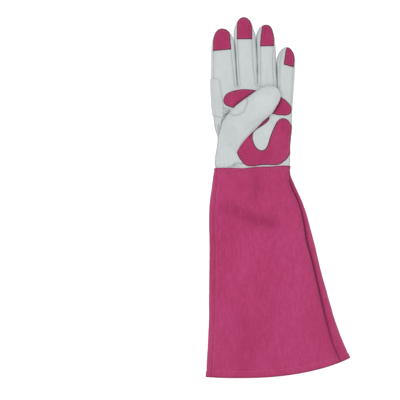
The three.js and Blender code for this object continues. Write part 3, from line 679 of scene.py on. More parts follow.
# Palm, back and the three strips between the fingers.
# The skin is cut along its seams into its five pieces; each cut edge is turned down into the seam as
# the allowance that is sewn, and each piece gets the thickness of its leather inwards.
GOATSKIN_WALL = 1.4
SEAM_ALLOWANCE = 1.8  # how far the cut edges are turned down into a seam
SEAM_GAP = 0.05
# distances from a sharp turn of a seam, and from a fingertip, over which the allowance grows
SHARP_RUN, TIP_CURVE_RUN = (2, 7), (13, 20)
SMOOTH_ANGLE = math.radians(50)
turns_of_seams = seam_line[np.flatnonzero(np.diff(owner_line))]
sharp_places = np.concatenate([turns_of_seams, crotch_places, crotch_places - [0, STRIP_POINT + 1]])
tip_places = np.array([(table[-1, LEFT], table[-1, 0]) for table in finger_tables.values()])


def tuck_edges(thing, facing):
    """The cut edges of a piece are turned down into the seam, less where the seam turns sharply."""
    work = bmesh.new()
    work.from_mesh(thing.data)
    down = {v: -Vector(facing[v.index]) for v in work.verts}
    edges = [e for e in work.edges if e.is_boundary]
    for v in {v for e in edges for v in e.verts}:
        inside = [e.other_vert(v).co for e in v.link_edges if not e.is_boundary]
        if inside:
            inward = sum(inside, Vector()) / len(inside) - v.co
            v.co += inward.normalized() * SEAM_GAP * 0.001 + down[v] * 0.0001
    turned = bmesh.ops.extrude_edge_only(work, edges=edges)["geom"]
    for v in turned:
        if isinstance(v, bmesh.types.BMVert):
            source = next(e.other_vert(v) for e in v.link_edges if e.other_vert(v) in down)
            place = np.array(source.co[:2]) * 1000 - PLACE[:2]
            from_sharp = np.linalg.norm(sharp_places - place, axis=1).min()
            from_tip = np.linalg.norm(tip_places - place, axis=1).min()
            open_run = min(smooth_step(from_sharp, *SHARP_RUN), smooth_step(from_tip, *TIP_CURVE_RUN))
            v.co = source.co + down[source] * SEAM_ALLOWANCE * (0.2 + 0.8 * float(open_run)) * 0.001
    work.to_mesh(thing.data)
    work.free()


def pick(thing):
    """One object alone selected and active."""
    bpy.ops.object.select_all(action="DESELECT")
    bpy.context.view_layer.objects.active = thing
    thing.select_set(True)


def thicken(thing, wall):
    """Thickness given inwards, and the modifier applied."""
    pick(thing)
    solid = thing.modifiers.new("wall", "SOLIDIFY")
    solid.thickness = wall * 0.001
    solid.offset = -1
    bpy.ops.object.modifier_apply(modifier=solid.name)
    bpy.ops.object.shade_smooth_by_angle(angle=SMOOTH_ANGLE)


def dress(thing, material, node=None):
    """The leather or thread of a piece, the CAD node that it stands for, and the body it rides on."""
    thing.data.materials.clear()
    thing.data.materials.append(material)
    if node:
        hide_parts(node)
    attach(thing, "root")


def cut_from_hand(part, name, node):
    """One piece of leather cut out of the skin of the hand along its seams."""
    tags = np.empty(len(hand.data.polygons), np.int32)
    hand.data.attributes["part"].data.foreach_get("value", tags)
    mine = [hand.data.polygons[k].vertices[:] for k in np.flatnonzero(tags == part)]
    used = np.unique(np.concatenate(mine))
    faces = [np.searchsorted(used, face).tolist() for face in mine]
    piece = mesh_object(name, places_of(hand)[used], faces)
    for mark_name in ("crease", "stain"):
        share = np.empty(len(hand.data.vertices))
        hand.data.attributes[mark_name].data.foreach_get("value", share)
        mark(piece, mark_name, share[used])
    tuck_edges(piece, normals_of(hand)[used])
    thicken(piece, GOATSKIN_WALL)
    dress(piece, goatskin, node)


cut_from_hand(PANEL, "palm_leather", "palm_panel")
cut_from_hand(BACK, "back_leather", "back_panel")
for k, (left, right) in enumerate(zip(FINGERS[:-1], FINGERS[1:])):
    cut_from_hand(STRIP + k, f"strip_{left}_{right}", f"fourchette_{left}_{right}")


# The thumb.
# A tube of the same goatskin set into the palm side, here folded across the palm. Its skin runs
# smoothly out of the heel of the hand, and its long seam lies underneath.
# left edge x, y; right edge x, y; height of the left edge, of the right edge, of the crown, of the floor
THUMB_ROWS = [
    (-76.4, 60.0, -54.4, 55.0, 14.5, 19.2, 19.6, 12.0),
    (-76.4, 66.0, -52.6, 60.0, 14.8, 19.4, 20.6, 12.0),
    (-76.2, 73.0, -49.6, 65.8, 15.2, 19.8, 22.2, 12.0),
    (-75.8, 81.0, -45.9, 71.0, 16.0, 20.2, 24.2, 12.4),
    (-74.4, 89.0, -41.0, 76.6, 17.0, 20.8, 26.4, 13.0),
    (-72.4, 97.2, -35.8, 81.8, 18.2, 21.6, 28.6, 14.4),
    (-68.6, 104.4, -30.4, 87.0, 19.6, 22.8, 30.6, 16.4),
    (-62.6, 110.8, -25.2, 92.4, 21.4, 24.2, 32.6, 18.4),
    (-54.2, 119.2, -20.8, 97.2, 23.2, 25.4, 34.4, 19.4),
    (-44.9, 126.4, -17.0, 100.6, 24.8, 26.4, 35.6, 20.0),
    (-35.2, 133.3, -13.4, 103.8, 26.0, 27.0, 36.2, 20.4),
    (-26.2, 139.6, -10.0, 106.8, 26.6, 27.4, 36.3, 20.6),
    (-17.9, 144.2, -6.3, 111.0, 26.8, 27.4, 35.9, 20.8),
    (-11.4, 145.2, -2.6, 116.8, 26.8, 27.2, 35.0, 20.8),
    (-5.8, 144.2, 0.6, 122.4, 26.6, 26.8, 33.6, 21.0),
    (-1.0, 141.0, 2.7, 128.0, 26.4, 26.4, 31.8, 21.6),
    (2.0, 136.6, 3.3, 132.2, 26.0, 26.0, 29.0, 23.0),
    (3.0, 134.6, 3.3, 134.0, 25.6, 25.6, 26.0, 25.2),
]
THUMB_LENGTHS = 150
THUMB_ROUND = 44  # steps from edge to edge, over the top and again underneath
THUMB_HALF_WIDTH, THUMB_RISE = 18, 8  # its usual section, which spaces those steps
THUMB_CLOSE = 0.35  # how near it lies to the palm
THUMB_LUMPS = [(0.45, (1, 1, 1), 20, 6), (0.22, (1, 1, 1), 8, 7), (0.08, (1, 1, 1), 4, 8)]
ROOT_LONG, ROOT_SHORT = 46, 14  # steps over which the root rises, on the left and on the right
# folds of the thumb: path, half width, depth; a ridge has a depth below nothing
THUMB_FOLDS = [
    ([(-70, 82), (-58, 96), (-44, 106), (-28, 114)], 3.0, 0.5),
    ([(-72, 70), (-62, 80), (-54, 88)], 2.4, 0.5),
    ([(-60, 62), (-52, 74), (-42, 84)], 2.2, 0.5),
    ([(-50, 100), (-40, 110), (-26, 120)], 2.6, -0.4),
    ([(-44, 84), (-36, 92), (-26, 100)], 2.2, 0.6),
    ([(-30, 128), (-22, 132), (-12, 134)], 3.4, -0.4),
    ([(-73, 102), (-66, 104), (-58, 110)], 2.2, 0.8),
    ([(-72, 92), (-64, 98), (-60, 106)], 2.6, 0.6),
    ([(-16, 112), (-8, 120), (-3, 128)], 2.4, 0.4),
]


def form_of(thing):
    """A piece as a surface to lay other pieces on: its search tree, points, normals and faces."""
    spots, corners = places_of(thing), [p.vertices[:] for p in thing.data.polygons]
    return BVHTree.FromPolygons([Vector(p) for p in spots], corners), spots, normals_of(thing), corners


def surface_at(form, x, y):
    """The place and the smooth normal on a form's upper face, or on its edge beside that place."""
    tree, spots, facings, corners = form
    at, _, face, _ = tree.ray_cast(Vector((x, y, SKY)), DOWN)
    if at is None:
        at, _, face, _ = tree.find_nearest(Vector((x, y, spots[:, 2].mean() + 2)))
    near = list(corners[face])
    weights = 1 / (np.linalg.norm(spots[near] - np.array(at), axis=1) + 0.02)
    facing = weights @ facings[near]
    return np.array(at), facing / np.linalg.norm(facing)


def laid_grid(name, net):
    """A grid whose points are laid on a net of places, sewn together where the net closes."""
    lengths, columns = net.shape[:2]
    bpy.ops.object.select_all(action="DESELECT")
    bpy.ops.mesh.primitive_grid_add(x_subdivisions=columns - 1, y_subdivisions=lengths - 1, size=0.1)
    thing = bpy.context.object
    thing.name = thing.data.name = name
    lay(thing, net.reshape(-1, 3))
    bpy.ops.object.mode_set(mode="EDIT")
    bpy.ops.mesh.select_all(action="SELECT")
    bpy.ops.mesh.remove_doubles(threshold=1e-6)
    bpy.ops.mesh.normals_make_consistent(inside=False)
    bpy.ops.object.mode_set(mode="OBJECT")
    return thing


def blunt_turn(angles):
    """Across and up on a blunt round at angles round it, each between -1 and 1."""
    across, up = np.cos(angles), np.sin(angles)
    return np.sign(across) * np.abs(across) ** BLUNT, np.sign(up) * np.abs(up) ** BLUNT


hand_form = form_of(hand)
bpy.data.objects.remove(hand)
rows = eased(THUMB_ROWS, np.linspace(0, 1, THUMB_LENGTHS) ** 0.97)
thumb_left, thumb_right = rows[:, 0:2], rows[:, 2:4]
# even steps over the top, measured on its usual section
angles = np.linspace(0, math.pi, 400)
side, rise = blunt_turn(angles)
run = run_along(np.column_stack([side * THUMB_HALF_WIDTH, rise * THUMB_RISE]))
side, rise = blunt_turn(np.interp(np.linspace(run[-1], 0, THUMB_ROUND + 1), run, angles))

middle, half = (thumb_left + thumb_right) / 2, (thumb_right - thumb_left) / 2
plan = middle[:, None] + half[:, None] * side[None, :, None]
left_z, right_z, crown_z, floor_z = (rows[:, k, None] for k in (4, 5, 6, 7))
fold, mean = left_z + (right_z - left_z) * (side + 1) / 2, (left_z + right_z) / 2
top, under = fold + (crown_z - mean) * rise, fold - (mean - floor_z) * rise
# the root lies on the hand and rises out of it, sooner on the right, and the thumb never sinks in
hits = [hand_form[0].ray_cast(Vector((x, y, SKY)), DOWN)[0] for x, y in plan.reshape(-1, 2)]
palm_z = np.array([hit.z if hit else 0 for hit in hits]).reshape(top.shape)
over_palm = top - palm_z - THUMB_CLOSE
top = palm_z + THUMB_CLOSE + kept_above(over_palm, 1.2)
root_steps = ROOT_LONG - (ROOT_LONG - ROOT_SHORT) * smooth_step(side, 0.1, 1.0)
rooted = 1 - smooth_step(np.arange(THUMB_LENGTHS)[:, None] / root_steps, 0, 1)
top -= (top - palm_z + 0.6) * rooted
under = np.minimum(np.maximum(under, palm_z + THUMB_CLOSE), top - 2.5 * rooted - 0.05)
under[[0, -1]] = top[[0, -1]]  # closed at the root and at the tip
upper_skin, lower_skin = np.dstack([plan, top]), np.dstack([plan, under])
around = np.concatenate([upper_skin, lower_skin[:, -2:0:-1], upper_skin[:, :1]], axis=1)
thumb = laid_grid("thumb_leather", around)
relaxed(thumb, np.full(len(thumb.data.vertices), 0.5), 4)

spots, facing = places_of(thumb), normals_of(thumb)
press = strokes(spots, THUMB_FOLDS) * smooth_step(facing[:, 2], -0.1, 0.3) + lumps_of(spots, THUMB_LUMPS)
above_root = smooth_step(spots[:, 1] + 0.35 * spots[:, 0], 30, 52)
pressed_in(thumb, spots, facing, press * above_root)
# painted shade along the thumb's edges, where its sides turn down
mark(thumb, "crease", 0.45 * above_root * smooth_step(np.abs(facing[:, 2]), 0.5, 0))
thumb_form = form_of(thumb)
thicken(thumb, GOATSKIN_WALL)
dress(thumb, goatskin, "thumb")


# The arm cuff.
# Two panels of thick pink split suede, sewn along both sides, turned in at the wrist and hemmed
# at the mouth. The wide side seam has fallen in, so the back panel shows past it.
# left edge x, y; right edge x, y; sag of the middle; top; side seams in from the edges; crease depth
CUFF_ROWS = [
    (-82.3, 38.6, 16.6, 41.2, 0, 19.8, 3.0, 1.6, 0.2),
    (-83.4, 29.8, 16.9, 29.8, 0, 20.2, 4.4, 1.8, 0.8),
    (-85.1, 15.9, 23.0, 15.4, 0, 21.2, 5.6, 4.6, 2.8),
    (-88.3, -6.0, 32.9, -6.0, 0.3, 22.6, 6.4, 4.8, 3.2),
    (-89.6, -30, 40.4, -29, 0.8, 23.6, 6.6, 6.2, 3.4),
    (-89.0, -57, 47.0, -55, 1.6, 24.2, 6.6, 8.6, 3.4),
    (-88.8, -88, 54.0, -84, 2.6, 24.6, 6.6, 7.9, 3.2),
    (-88.8, -117, 60.7, -110, 3.8, 24.8, 6.6, 8.8, 3.0),
    (-89.0, -146, 67.8, -136, 5.2, 24.8, 6.6, 9.6, 2.6),
    (-89.8, -175, 74.8, -161, 6.8, 24.6, 6.6, 10.4, 2.0),
    (-91.6, -205, 83.7, -186, 8.6, 24.2, 6.6, 12.0, 1.2),
    (-93.6, -233, 94.2, -208, 10.6, 23.6, 6.6, 12.6, 0.5),
]
# where the suede sinks in: x, y, length, width, angle, depth
CUFF_DENTS = [
    (-50, -20, 36, 8, -17, 4.0), (-28, 15, 20, 5, 92, 2.4), (20, -70, 60, 12, 100, 1.8),
    (-40, -150, 55, 20, 84, 1.6), (-16, -30, 26, 8, -16, 1.8), (-62, -60, 50, 12, 96, 0.9),
    (-4, -120, 60, 14, 98, 0.9), (44, -150, 40, 12, 110, 1.0), (-10, 24, 14, 5, 100, 0.8),
    (-60, 22, 14, 6, 80, 0.8), (60, -180, 30, 10, 116, 0.9),
]
# painted shade in the two deepest dents: path, half width, darkness
CUFF_SHADES = [
    ([(-84, -6), (-56, -18), (-30, -28), (4, -36)], 7, 0.19), ([(-44, -24), (-20, -31), (8, -36)], 8, 0.12),
    ([(-28, 34), (-28, -4)], 5, 0.16),
]
WRIST_WAVE_X = [-82, -68, -45, -28, -8, 7, 16]  # the turned edge at the wrist waves a little
WRIST_WAVE_Y = [0.0, -0.1, -1.4, 0.0, 0.1, 0.9, 0.2]
MOUTH_SKEW = 0.3
CUFF_LENGTHS = 168
SUEDE_WALL = 1.6
SEAM_LIP = 0.45  # half the width of the groove along the side seams
WRIST_STITCH, HEM_STITCH = 5.2, 8.6  # stitch lines in from the cuff's two ends
WRIST_TURN, HEM_TURN = 1.8, 3.6  # where the layers turned in at the two ends stand proud
CUFF_LUMPS = [(0.9, (1.3, 0.7, 1), 60, 11), (0.45, (1.2, 0.8, 1), 24, 12), (0.16, (1, 1, 1), 9, 13)]
SEAM_IN_LEFT, SEAM_IN_RIGHT, CREASE = 6, 7, 8  # columns of the rows above


def cuff_point(row, angles):
    """Points on the cuff's outer face at angles round one section."""
    left, left_y, right, right_y, sag, high = row[:6]
    cross, rise = blunt_turn(angles)
    x = (left + right) / 2 + (right - left) / 2 * cross
    y = left_y + (right_y - left_y) * (cross + 1) / 2 - sag * (1 - cross**2) * (1 + MOUTH_SKEW * cross)
    fold = high * FOLD_HEIGHT
    z = fold + rise * np.where(rise > 0, high - fold, fold + SINK)
    z = kept_above(z, 0.4)
    for dent_x, dent_y, length, width, turn, depth in CUFF_DENTS:
        t = math.radians(turn)
        along = (x - dent_x) * math.cos(t) + (y - dent_y) * math.sin(t)
        off = (y - dent_y) * math.cos(t) - (x - dent_x) * math.sin(t)
        z -= depth * bell(along, length) * bell(off, width) * np.clip(np.sin(angles), 0, 1)
    return np.column_stack([x, y, z])


def seam_angle(row, inset):
    """Angle in a section of the cuff at which its outer face is a distance in from its edge."""
    return math.acos((1 - inset / ((row[2] - row[0]) / 2)) ** (1 / BLUNT))


def run_down(net):
    """How far down a net of places each of its rows lies."""
    return np.concatenate([[0], np.cumsum(np.linalg.norm(np.diff(net, axis=0), axis=2).mean(1))])


def turned_up(thing, up=True):
    """An open sheet turned over where most of its faces don't look up, or down where that is asked."""
    if (np.mean([face.normal.z for face in thing.data.polygons]) > 0) != up:
        thing.data.flip_normals()


def across_cuff(line, columns):
    """A section laid out again in even steps, with one point close to the seam at either end."""
    run = run_along(line)
    steps = np.linspace(SEAM_LIP, run[-1] - SEAM_LIP, columns - 1)
    return read_off(line, run, [0, *steps, run[-1]])


def cuff_panel(name, columns, ends, up):
    """A panel of the cuff between its two seams, dented, pressed in along its stitch lines."""
    net = []
    for row in cuff_table:
        start, end = ends(seam_angle(row, row[SEAM_IN_LEFT]), seam_angle(row, row[SEAM_IN_RIGHT]))
        net.append(across_cuff(cuff_point(row, np.linspace(start, end, 500)), columns))
    net = np.array(net)
    wave = np.interp(net[0, :, 0], WRIST_WAVE_X, WRIST_WAVE_Y)
    net[:, :, 1] += wave * (1 - smooth_step(np.linspace(0, 1, CUFF_LENGTHS), 0, 0.10))[:, None]
    panel = laid_grid(name, net)
    turned_up(panel, up)
    spots, facing = places_of(panel), normals_of(panel)
    run = run_down(net)
    from_wrist, from_mouth, crease = (
        np.repeat(values, columns + 1) for values in (run, run[-1] - run, cuff_table[:, CREASE])
    )
    across = np.cumsum(np.linalg.norm(np.diff(net, axis=1, prepend=net[:, :1]), axis=2), axis=1)
    from_left, from_right = across.ravel(), (across[:, -1:] - across).ravel()
    in_seam = 0.4 * bell(from_left, 0.3) + bell(from_right, 0.3)
    press = lumps_of(spots, CUFF_LUMPS) * (0.35 + 0.65 * smooth_step(from_wrist, 2, 25))
    # stitch lines and seams press in, and the turned layers stand a little proud
    press += 0.6 * in_seam + crease * np.exp(-((from_right / 1.9) ** 1.4)) + bands(
        (from_wrist - WRIST_STITCH, 1.0, 0.35), (from_wrist - WRIST_TURN, 2.0, -0.2),
        (from_mouth - HEM_STITCH, 1.0, 0.6), (from_mouth - HEM_TURN, 3.4, -0.4), (from_left, 1.4, 0.35),
    )
    pressed_in(panel, spots, facing, press)
    # painted shade in the dents, seams and along the edges, and on the sides that turn down
    dark = strokes(spots, CUFF_SHADES) + 0.7 * in_seam + 0.6 * smooth_step(np.abs(facing[:, 2]), 0.7, 0.1)
    dark += bands(
        (from_left, 1.2, 0.05), (from_right, 1.9, 0.65 * np.clip(crease / 3, 0, 1)), (from_right, 9, 0.12),
        (from_wrist - WRIST_STITCH, 0.8, 0.3), (from_wrist, 1.1, 0.7), (from_mouth, 1.5, 0.7),
    )
    mark(panel, "crease", dark)
    thicken(panel, SUEDE_WALL)
    return panel, net


# pink split suede: matt, its short nap brushed in faint streaks
SUEDE_SHEEN = (0.2, (1.0, 0.72, 0.86, 1))
suede = leather_material(
    "pink_suede", ((0.395, 0.027, 0.115), (0.47, 0.043, 0.158), (0.53, 0.066, 0.205)),
    shade_and_dirt=(0.16, 0.0, 0.036), lumps=(16, 300, (1, 0.3, 1), 620), grain=(1500, 0.00024),
    rough=(0.88, 0.97), sheen=SUEDE_SHEEN,
)
cuff_table = eased(CUFF_ROWS, np.linspace(0, 1, CUFF_LENGTHS))
front_cuff, front_net = cuff_panel(
    "cuff_palm_suede", 112, lambda left, right: (math.pi - left, right), up=True
)
back_cuff, back_net = cuff_panel(
    "cuff_back_suede", 132, lambda left, right: (math.pi - left, 2 * math.pi + right), up=False
)

# sewn together: along both side seams the two panels share one edge, inside and out
front_skins, back_skins = (
    places_of(panel).reshape(2, CUFF_LENGTHS, -1, 3) for panel in (front_cuff, back_cuff)
)
for seam in (0, -1):
    shared = (front_skins[:, :, seam] + back_skins[:, :, seam]) / 2
    front_skins[:, :, seam] = back_skins[:, :, seam] = shared
lay(front_cuff, front_skins.reshape(-1, 3))
lay(back_cuff, back_skins.reshape(-1, 3))
dress(front_cuff, suede, "cuff_palm_panel")
dress(back_cuff, suede, "cuff_back_panel")


# The pads and patches.
# Pink suede pads on palm and fingertips, and two white patches, in the crook of the thumb and round
# the side of the index finger; each is cut out flat and sewn on with its edge rolled under.
UPPER_PAD = [
    (-70.6, 126.8), (-68.0, 133.2), (-61.5, 137.4), (-52.0, 139.8), (-42.0, 140.8), (-30.0, 139.4),
    (-14.0, 135.6), (0.0, 132.6), (9.0, 127.4), (14.8, 121.8), (17.6, 117.2), (17.7, 112.4),
    (15.2, 108.6), (11.0, 106.9), (5.0, 106.8), (-3.0, 107.6), (-18.0, 112.0), (-38.0, 114.4),
    (-58.0, 116.6), (-65.6, 118.8), (-69.4, 122.0),
]
LOWER_PAD = [
    (6.2, 103.4), (0.2, 100.8), (-3.7, 94.6), (-6.7, 88.2), (-10.2, 79.2), (-12.3, 71.8), (-14.8, 65.3),
    (-17.8, 61.8), (-22.7, 61.3), (-27.6, 64.3), (-31.2, 70.8), (-32.8, 76.7), (-32.6, 83.0),
    (-28.6, 87.8), (-22.0, 92.0), (-15.4, 96.6), (-11.6, 100.4), (-10.2, 103.6), (-12.2, 106.6),
    (-18.0, 106.8), (-30.0, 100.0), (-40.0, 88.0), (-48.0, 74.0), (-53.0, 61.0), (-52.6, 56.0),
    (-50.4, 51.8), (-44.8, 44.4), (-39.9, 41.2), (-30.2, 41.0), (-21.4, 42.4), (-12.7, 42.6),
    (-5.3, 42.2), (1.2, 42.8), (7.2, 46.4), (12.2, 50.9), (15.4, 56.9), (16.9, 64.3), (17.9, 79.2),
    (18.1, 90.2), (16.4, 96.2), (12.2, 101.6),
]
# lower edge of the pad on the left and right; the little finger's pad slants along its left side
TIP_PADS = {
    "index": (190.4, 192.4, None), "middle": (205.6, 205.6, None),
    "ring": (196.4, 196.8, None), "little": (172.8, 169.4, (7.5, 11.2)),
}
# the visible edge of the crook patch, between its two ends at the thumb's own edge
CROOK_PATCH = [
    (-60.6, 106.4), (-55.4, 105.5), (-50.2, 106.8), (-45.3, 109.4), (-42.6, 113.5), (-40.3, 118.5),
    (-39.2, 123.3),
]
CROOK_REACH = (109.6, 129.6)  # y of the thumb's edge between those ends
PAD_THICK, PAD_LIFT = 1.3, 0.25  # of the pad, and of the air and thread under it
ROLL = 1.3  # how far in from its edge a pad is rolled down
EDGE_STITCH = 2.1  # its stitch line, in from the edge
THUMB_SHADOW = 2.6  # half width of the painted shadow that the thumb casts on the pads along its edges
PAD_RINGS = (0.25, 0.6, 1.1, 1.8, 2.5)
PAD_PITCH, TIP_PITCH = 1.15, 1.0
HAND_EDGE_CLEAR = 1.5
TIP_OUT = 0.5  # a tip pad runs a little past the seam round the fingertip
TIP_ROUND = (12, 4)  # below the tip, where its round has its middle, and where it is all round
TIP_CORNER = 0.4  # from the lower edge of a tip pad up to where it meets the seam
pad_suede = leather_material(
    "pad_suede", ((0.355, 0.020, 0.092), (0.42, 0.032, 0.128), (0.475, 0.052, 0.168)),
    shade_and_dirt=(0.09, 0.014, 0.04), lumps=(34, 260, (1, 0.4, 1), 700), grain=(1500, 0.00024),
    rough=(0.88, 0.97), sheen=SUEDE_SHEEN,
)
pads = []  # each pad with its outline and the part of it that is free, for the stitches


def rounded(corners, pitch):
    """A closed line eased through its corner points, at an even pitch."""
    ring = np.concatenate([corners[-2:], corners, corners[:3]])
    first, last = 2 / (len(ring) - 1), (2 + len(corners)) / (len(ring) - 1)
    return evenly(eased(ring, np.linspace(first, last, 1400)), pitch)[:-1]


def rolled_in(from_edge):
    """How high a pad stands at a distance from its rolled edge, from 0 at the edge to 1."""
    return np.sqrt(1 - (1 - np.minimum(from_edge / ROLL, 1)) ** 2)


def sewn_on(
    name, node, line, form, material, pitch=PAD_PITCH, thick=PAD_THICK, lift=PAD_LIFT, edge_shade=0.95, free=None
):
    """A pad laid on a form inside a closed line, its edge rolled and its stitch line pressed in."""
    flat, faces, border = filled(line, pitch, PAD_RINGS)
    free = np.ones(len(line), bool) if free is None else free
    from_edge = distance_to(grounded(line[free]), grounded(flat))
    from_edge[border[free]] = 0
    height = lift + thick * (0.35 + 0.65 * rolled_in(from_edge)) - 0.32 * bell(from_edge - EDGE_STITCH, 0.55)
    places, facings = np.array([surface_at(form, x, y) for x, y in flat]).transpose(1, 0, 2)
    top, under = places + facings * height[:, None], places + facings * lift * 0.6
    count = len(flat)
    walls = np.column_stack([np.roll(border, -1), border, border + count, np.roll(border, -1) + count])
    skins = faces.tolist() + (faces[:, ::-1] + count).tolist() + walls.tolist()
    pad = mesh_object(name, np.concatenate([top, under]), skins)
    # painted shade along the rolled edge and in the stitch line; on the pink pads also the thumb's painted
    # shadow
    dark = bands((from_edge, 1.15, edge_shade), (from_edge - EDGE_STITCH, 0.5, 0.2))
    if material is pad_suede:
        dark = np.maximum(dark, 0.75 * bell(distance_to(thumb_edges, grounded(flat)), THUMB_SHADOW))
    mark(pad, "crease", np.tile(dark, 2))
    face_outwards(pad)
    pick(pad)
    bpy.ops.object.shade_smooth_by_angle(angle=SMOOTH_ANGLE)
    dress(pad, material, node)
    pads.append((pad, line, free))


# the two pads of the palm, with the thumb's painted shadow along both of its edges
thumb_edges = grounded(np.concatenate([thumb_left[40:], thumb_right[40:]]))
sewn_on("upper_palm_pad", "palm_pad_upper", rounded(UPPER_PAD, 1.0), hand_form, pad_suede)
lower_line = rounded(LOWER_PAD, 1.0)
hand_right = np.interp(lower_line[:, 1], hand_table[:, 0], hand_table[:, RIGHT])
lower_line[:, 0] = np.minimum(lower_line[:, 0], hand_right - HAND_EDGE_CLEAR)
for shift in (40, -40):
    lower_line = np.roll(eased_line(lower_line, 6), shift, axis=0)
sewn_on("lower_palm_pad", "palm_pad_lower", lower_line, hand_form, pad_suede)

# the fingertip pads follow the seam round the tip
for number, (name, (left_y, right_y, slant)) in enumerate(TIP_PADS.items()):
    path = seam_line[finger_line == number]
    tip_y, tip_x, *_ = FINGER_ROWS[name][-1]
    outward = path - [tip_x, tip_y - TIP_ROUND[0]]
    outward /= np.linalg.norm(outward, axis=1, keepdims=True)
    near_tip = smooth_step(path[:, 1], tip_y - TIP_ROUND[0], tip_y - TIP_ROUND[1])
    path = path + outward * (TIP_OUT * near_tip)[:, None]
    peak = int(np.argmax(path[:, 1])) + 1
    left_part, right_part = path[:peak], path[peak:]
    left_part = left_part[left_part[:, 1] > left_y + TIP_CORNER]
    right_part = right_part[right_part[:, 1] > right_y + TIP_CORNER]
    if slant:
        left_part[:, 0] = np.maximum(left_part[:, 0], np.interp(left_part[:, 1], [left_y, tip_y], slant))
    corners = [(left_part[0, 0], left_y)], [(right_part[-1, 0], right_y)]
    arch = eased_line(evenly(np.concatenate([left_part, right_part]), 0.9), 20)
    line = evenly(np.concatenate([corners[0], arch, corners[1], corners[0]]), 0.9)[:-1]
    sewn_on(f"fingertip_pad_{name}_suede", f"fingertip_pad_{name}", line, hand_form, pad_suede, TIP_PITCH)

# the crook patch goes under along the thumb's own edge, where it is neither rolled nor stitched
thumb_edge = thumb_left + [0.5, -0.5]
low, high = CROOK_REACH
between = (thumb_edge[:, 1] > low) & (thumb_edge[:, 1] < high) & (thumb_edge[:, 0] < -40)
hidden_edge = evenly(thumb_edge[between][::-1], 0.9)
ends = [hidden_edge[-1] + [0.2, -0.4]], [hidden_edge[0] + [0.3, -0.3]]
crook_corners = np.concatenate([ends[0], CROOK_PATCH, ends[1]])
free_edge = evenly(eased(crook_corners, np.linspace(0, 1, 300)), 0.9)
crook_line = np.concatenate([free_edge, hidden_edge])
sewn_on(
    "thumb_crook_patch", "thumb_crotch_patch", crook_line, thumb_form, goatskin,
    TIP_PITCH, thick=0.6, lift=0.12, edge_shade=0.4, free=np.arange(len(crook_line)) < len(free_edge),
)

# the side patch wraps round the edge of the hand: laid by rays from inside the hand
SIDE_LOW, SIDE_HIGH = 107.0, 155.2
SIDE_SLANT = 3.4  # its lower edge runs down towards the crook of the thumb
SIDE_EDGE = [  # x and y of its edge on the palm side
    (-74.0, 107.0), (-72.6, 107.4), (-71.4, 108.4), (-70.5, 110.4), (-70.2, 112), (-70.0, 118), (-71.8, 128),
    (-73.2, 138), (-74.4, 149), (-75.3, 152), (-76.6, 153.8), (-78.0, 154.8), (-79.6, 155.2),
]
SIDE_WRAP = math.radians(118)  # from straight up to under the edge of the hand
SIDE_RAY_Z = 8.2
SIDE_WALL = 0.7
side_lengths, side_columns = 56, 40
net = []
for y in np.linspace(SIDE_LOW, SIDE_HIGH, side_lengths):
    start_x = np.interp(y, [p[1] for p in SIDE_EDGE], [p[0] for p in SIDE_EDGE])
    drop = SIDE_SLANT * (1 - (y - SIDE_LOW) / (SIDE_HIGH - SIDE_LOW)) ** 2
    ring = []
    for turn in np.linspace(0, SIDE_WRAP, 90):
        ray = Vector((-math.sin(turn), 0, math.cos(turn)))
        start = Vector((start_x, y - drop * (1 - smooth_step(turn, 0, 1.4)), SIDE_RAY_Z))
        at, facing, *_ = hand_form[0].ray_cast(start, ray)
        ring.append([*at, *(facing if facing.dot(ray) > 0 else -facing)])
    run = run_along(np.array(ring))
    net.append(read_off(np.array(ring), run, np.linspace(0, run[-1], side_columns)))
places, facings = np.split(np.array(net), 2, axis=2)
for _ in range(4):
    facings[1:-1] = (facings[:-2] + 2 * facings[1:-1] + facings[2:]) / 4
    facings[:, 1:-1] = (facings[:, :-2] + 2 * facings[:, 1:-1] + facings[:, 2:]) / 4
facings /= np.linalg.norm(facings, axis=2, keepdims=True)
from_end = [np.minimum(np.arange(n), n - 1 - np.arange(n)) for n in (side_lengths, side_columns)]
end_step, round_step = (SIDE_HIGH - SIDE_LOW) / (side_lengths - 1), 0.62
from_edge = np.minimum(from_end[0][:, None] * end_step, from_end[1][None, :] * round_step)
height = PAD_LIFT + 0.3 + 0.7 * rolled_in(from_edge) - 0.28 * bell(from_edge - EDGE_STITCH, 0.6)
side_net = places + facings * height[:, :, None]
side_patch = laid_grid("side_patch_leather", side_net)
# painted shade along the patch's rolled edge
mark(side_patch, "crease", 0.35 * bell(from_edge.ravel(), 0.8))
turned_up(side_patch)
thicken(side_patch, SIDE_WALL)
dress(side_patch, goatskin, "index_side_patch")


# The stitching.
# Polyester thread in the colour of the leather that it holds: a line inside the edge of each pad
# and patch, along the cuff's hem and wrist edge and beside its left side seam, and a zigzag over the wrist
# elastic.
STITCH_LONG, STITCH_THICK = 2.3, 0.46
STITCH_PITCH = 3.1
STITCH_SINK, STITCH_TAPER = 0.34, 0.45  # how far its ends go down into the leather and draw thin
STITCH_LIFT = 0.08  # its middle over the leather
SIDE_SEAM_STITCH = 2.4  # the line beside the side seam, in from it
ZIGZAG_X = np.arange(-76, 11, 2.2)
ZIGZAG_Y, ZIGZAG_HALF = 45, 1.8
pink_thread = leather_material(
    "pink_thread", ((0.50, 0.09, 0.21), (0.60, 0.14, 0.27), (0.68, 0.20, 0.34)),
    shade_and_dirt=(0.2, 0.04, 0.09), lumps=(40, 900, (1, 1, 1), 2200), grain=(3000, 0.0001),
    rough=(0.5, 0.6), sheen=(0.1, (1, 1, 1, 1)),
)


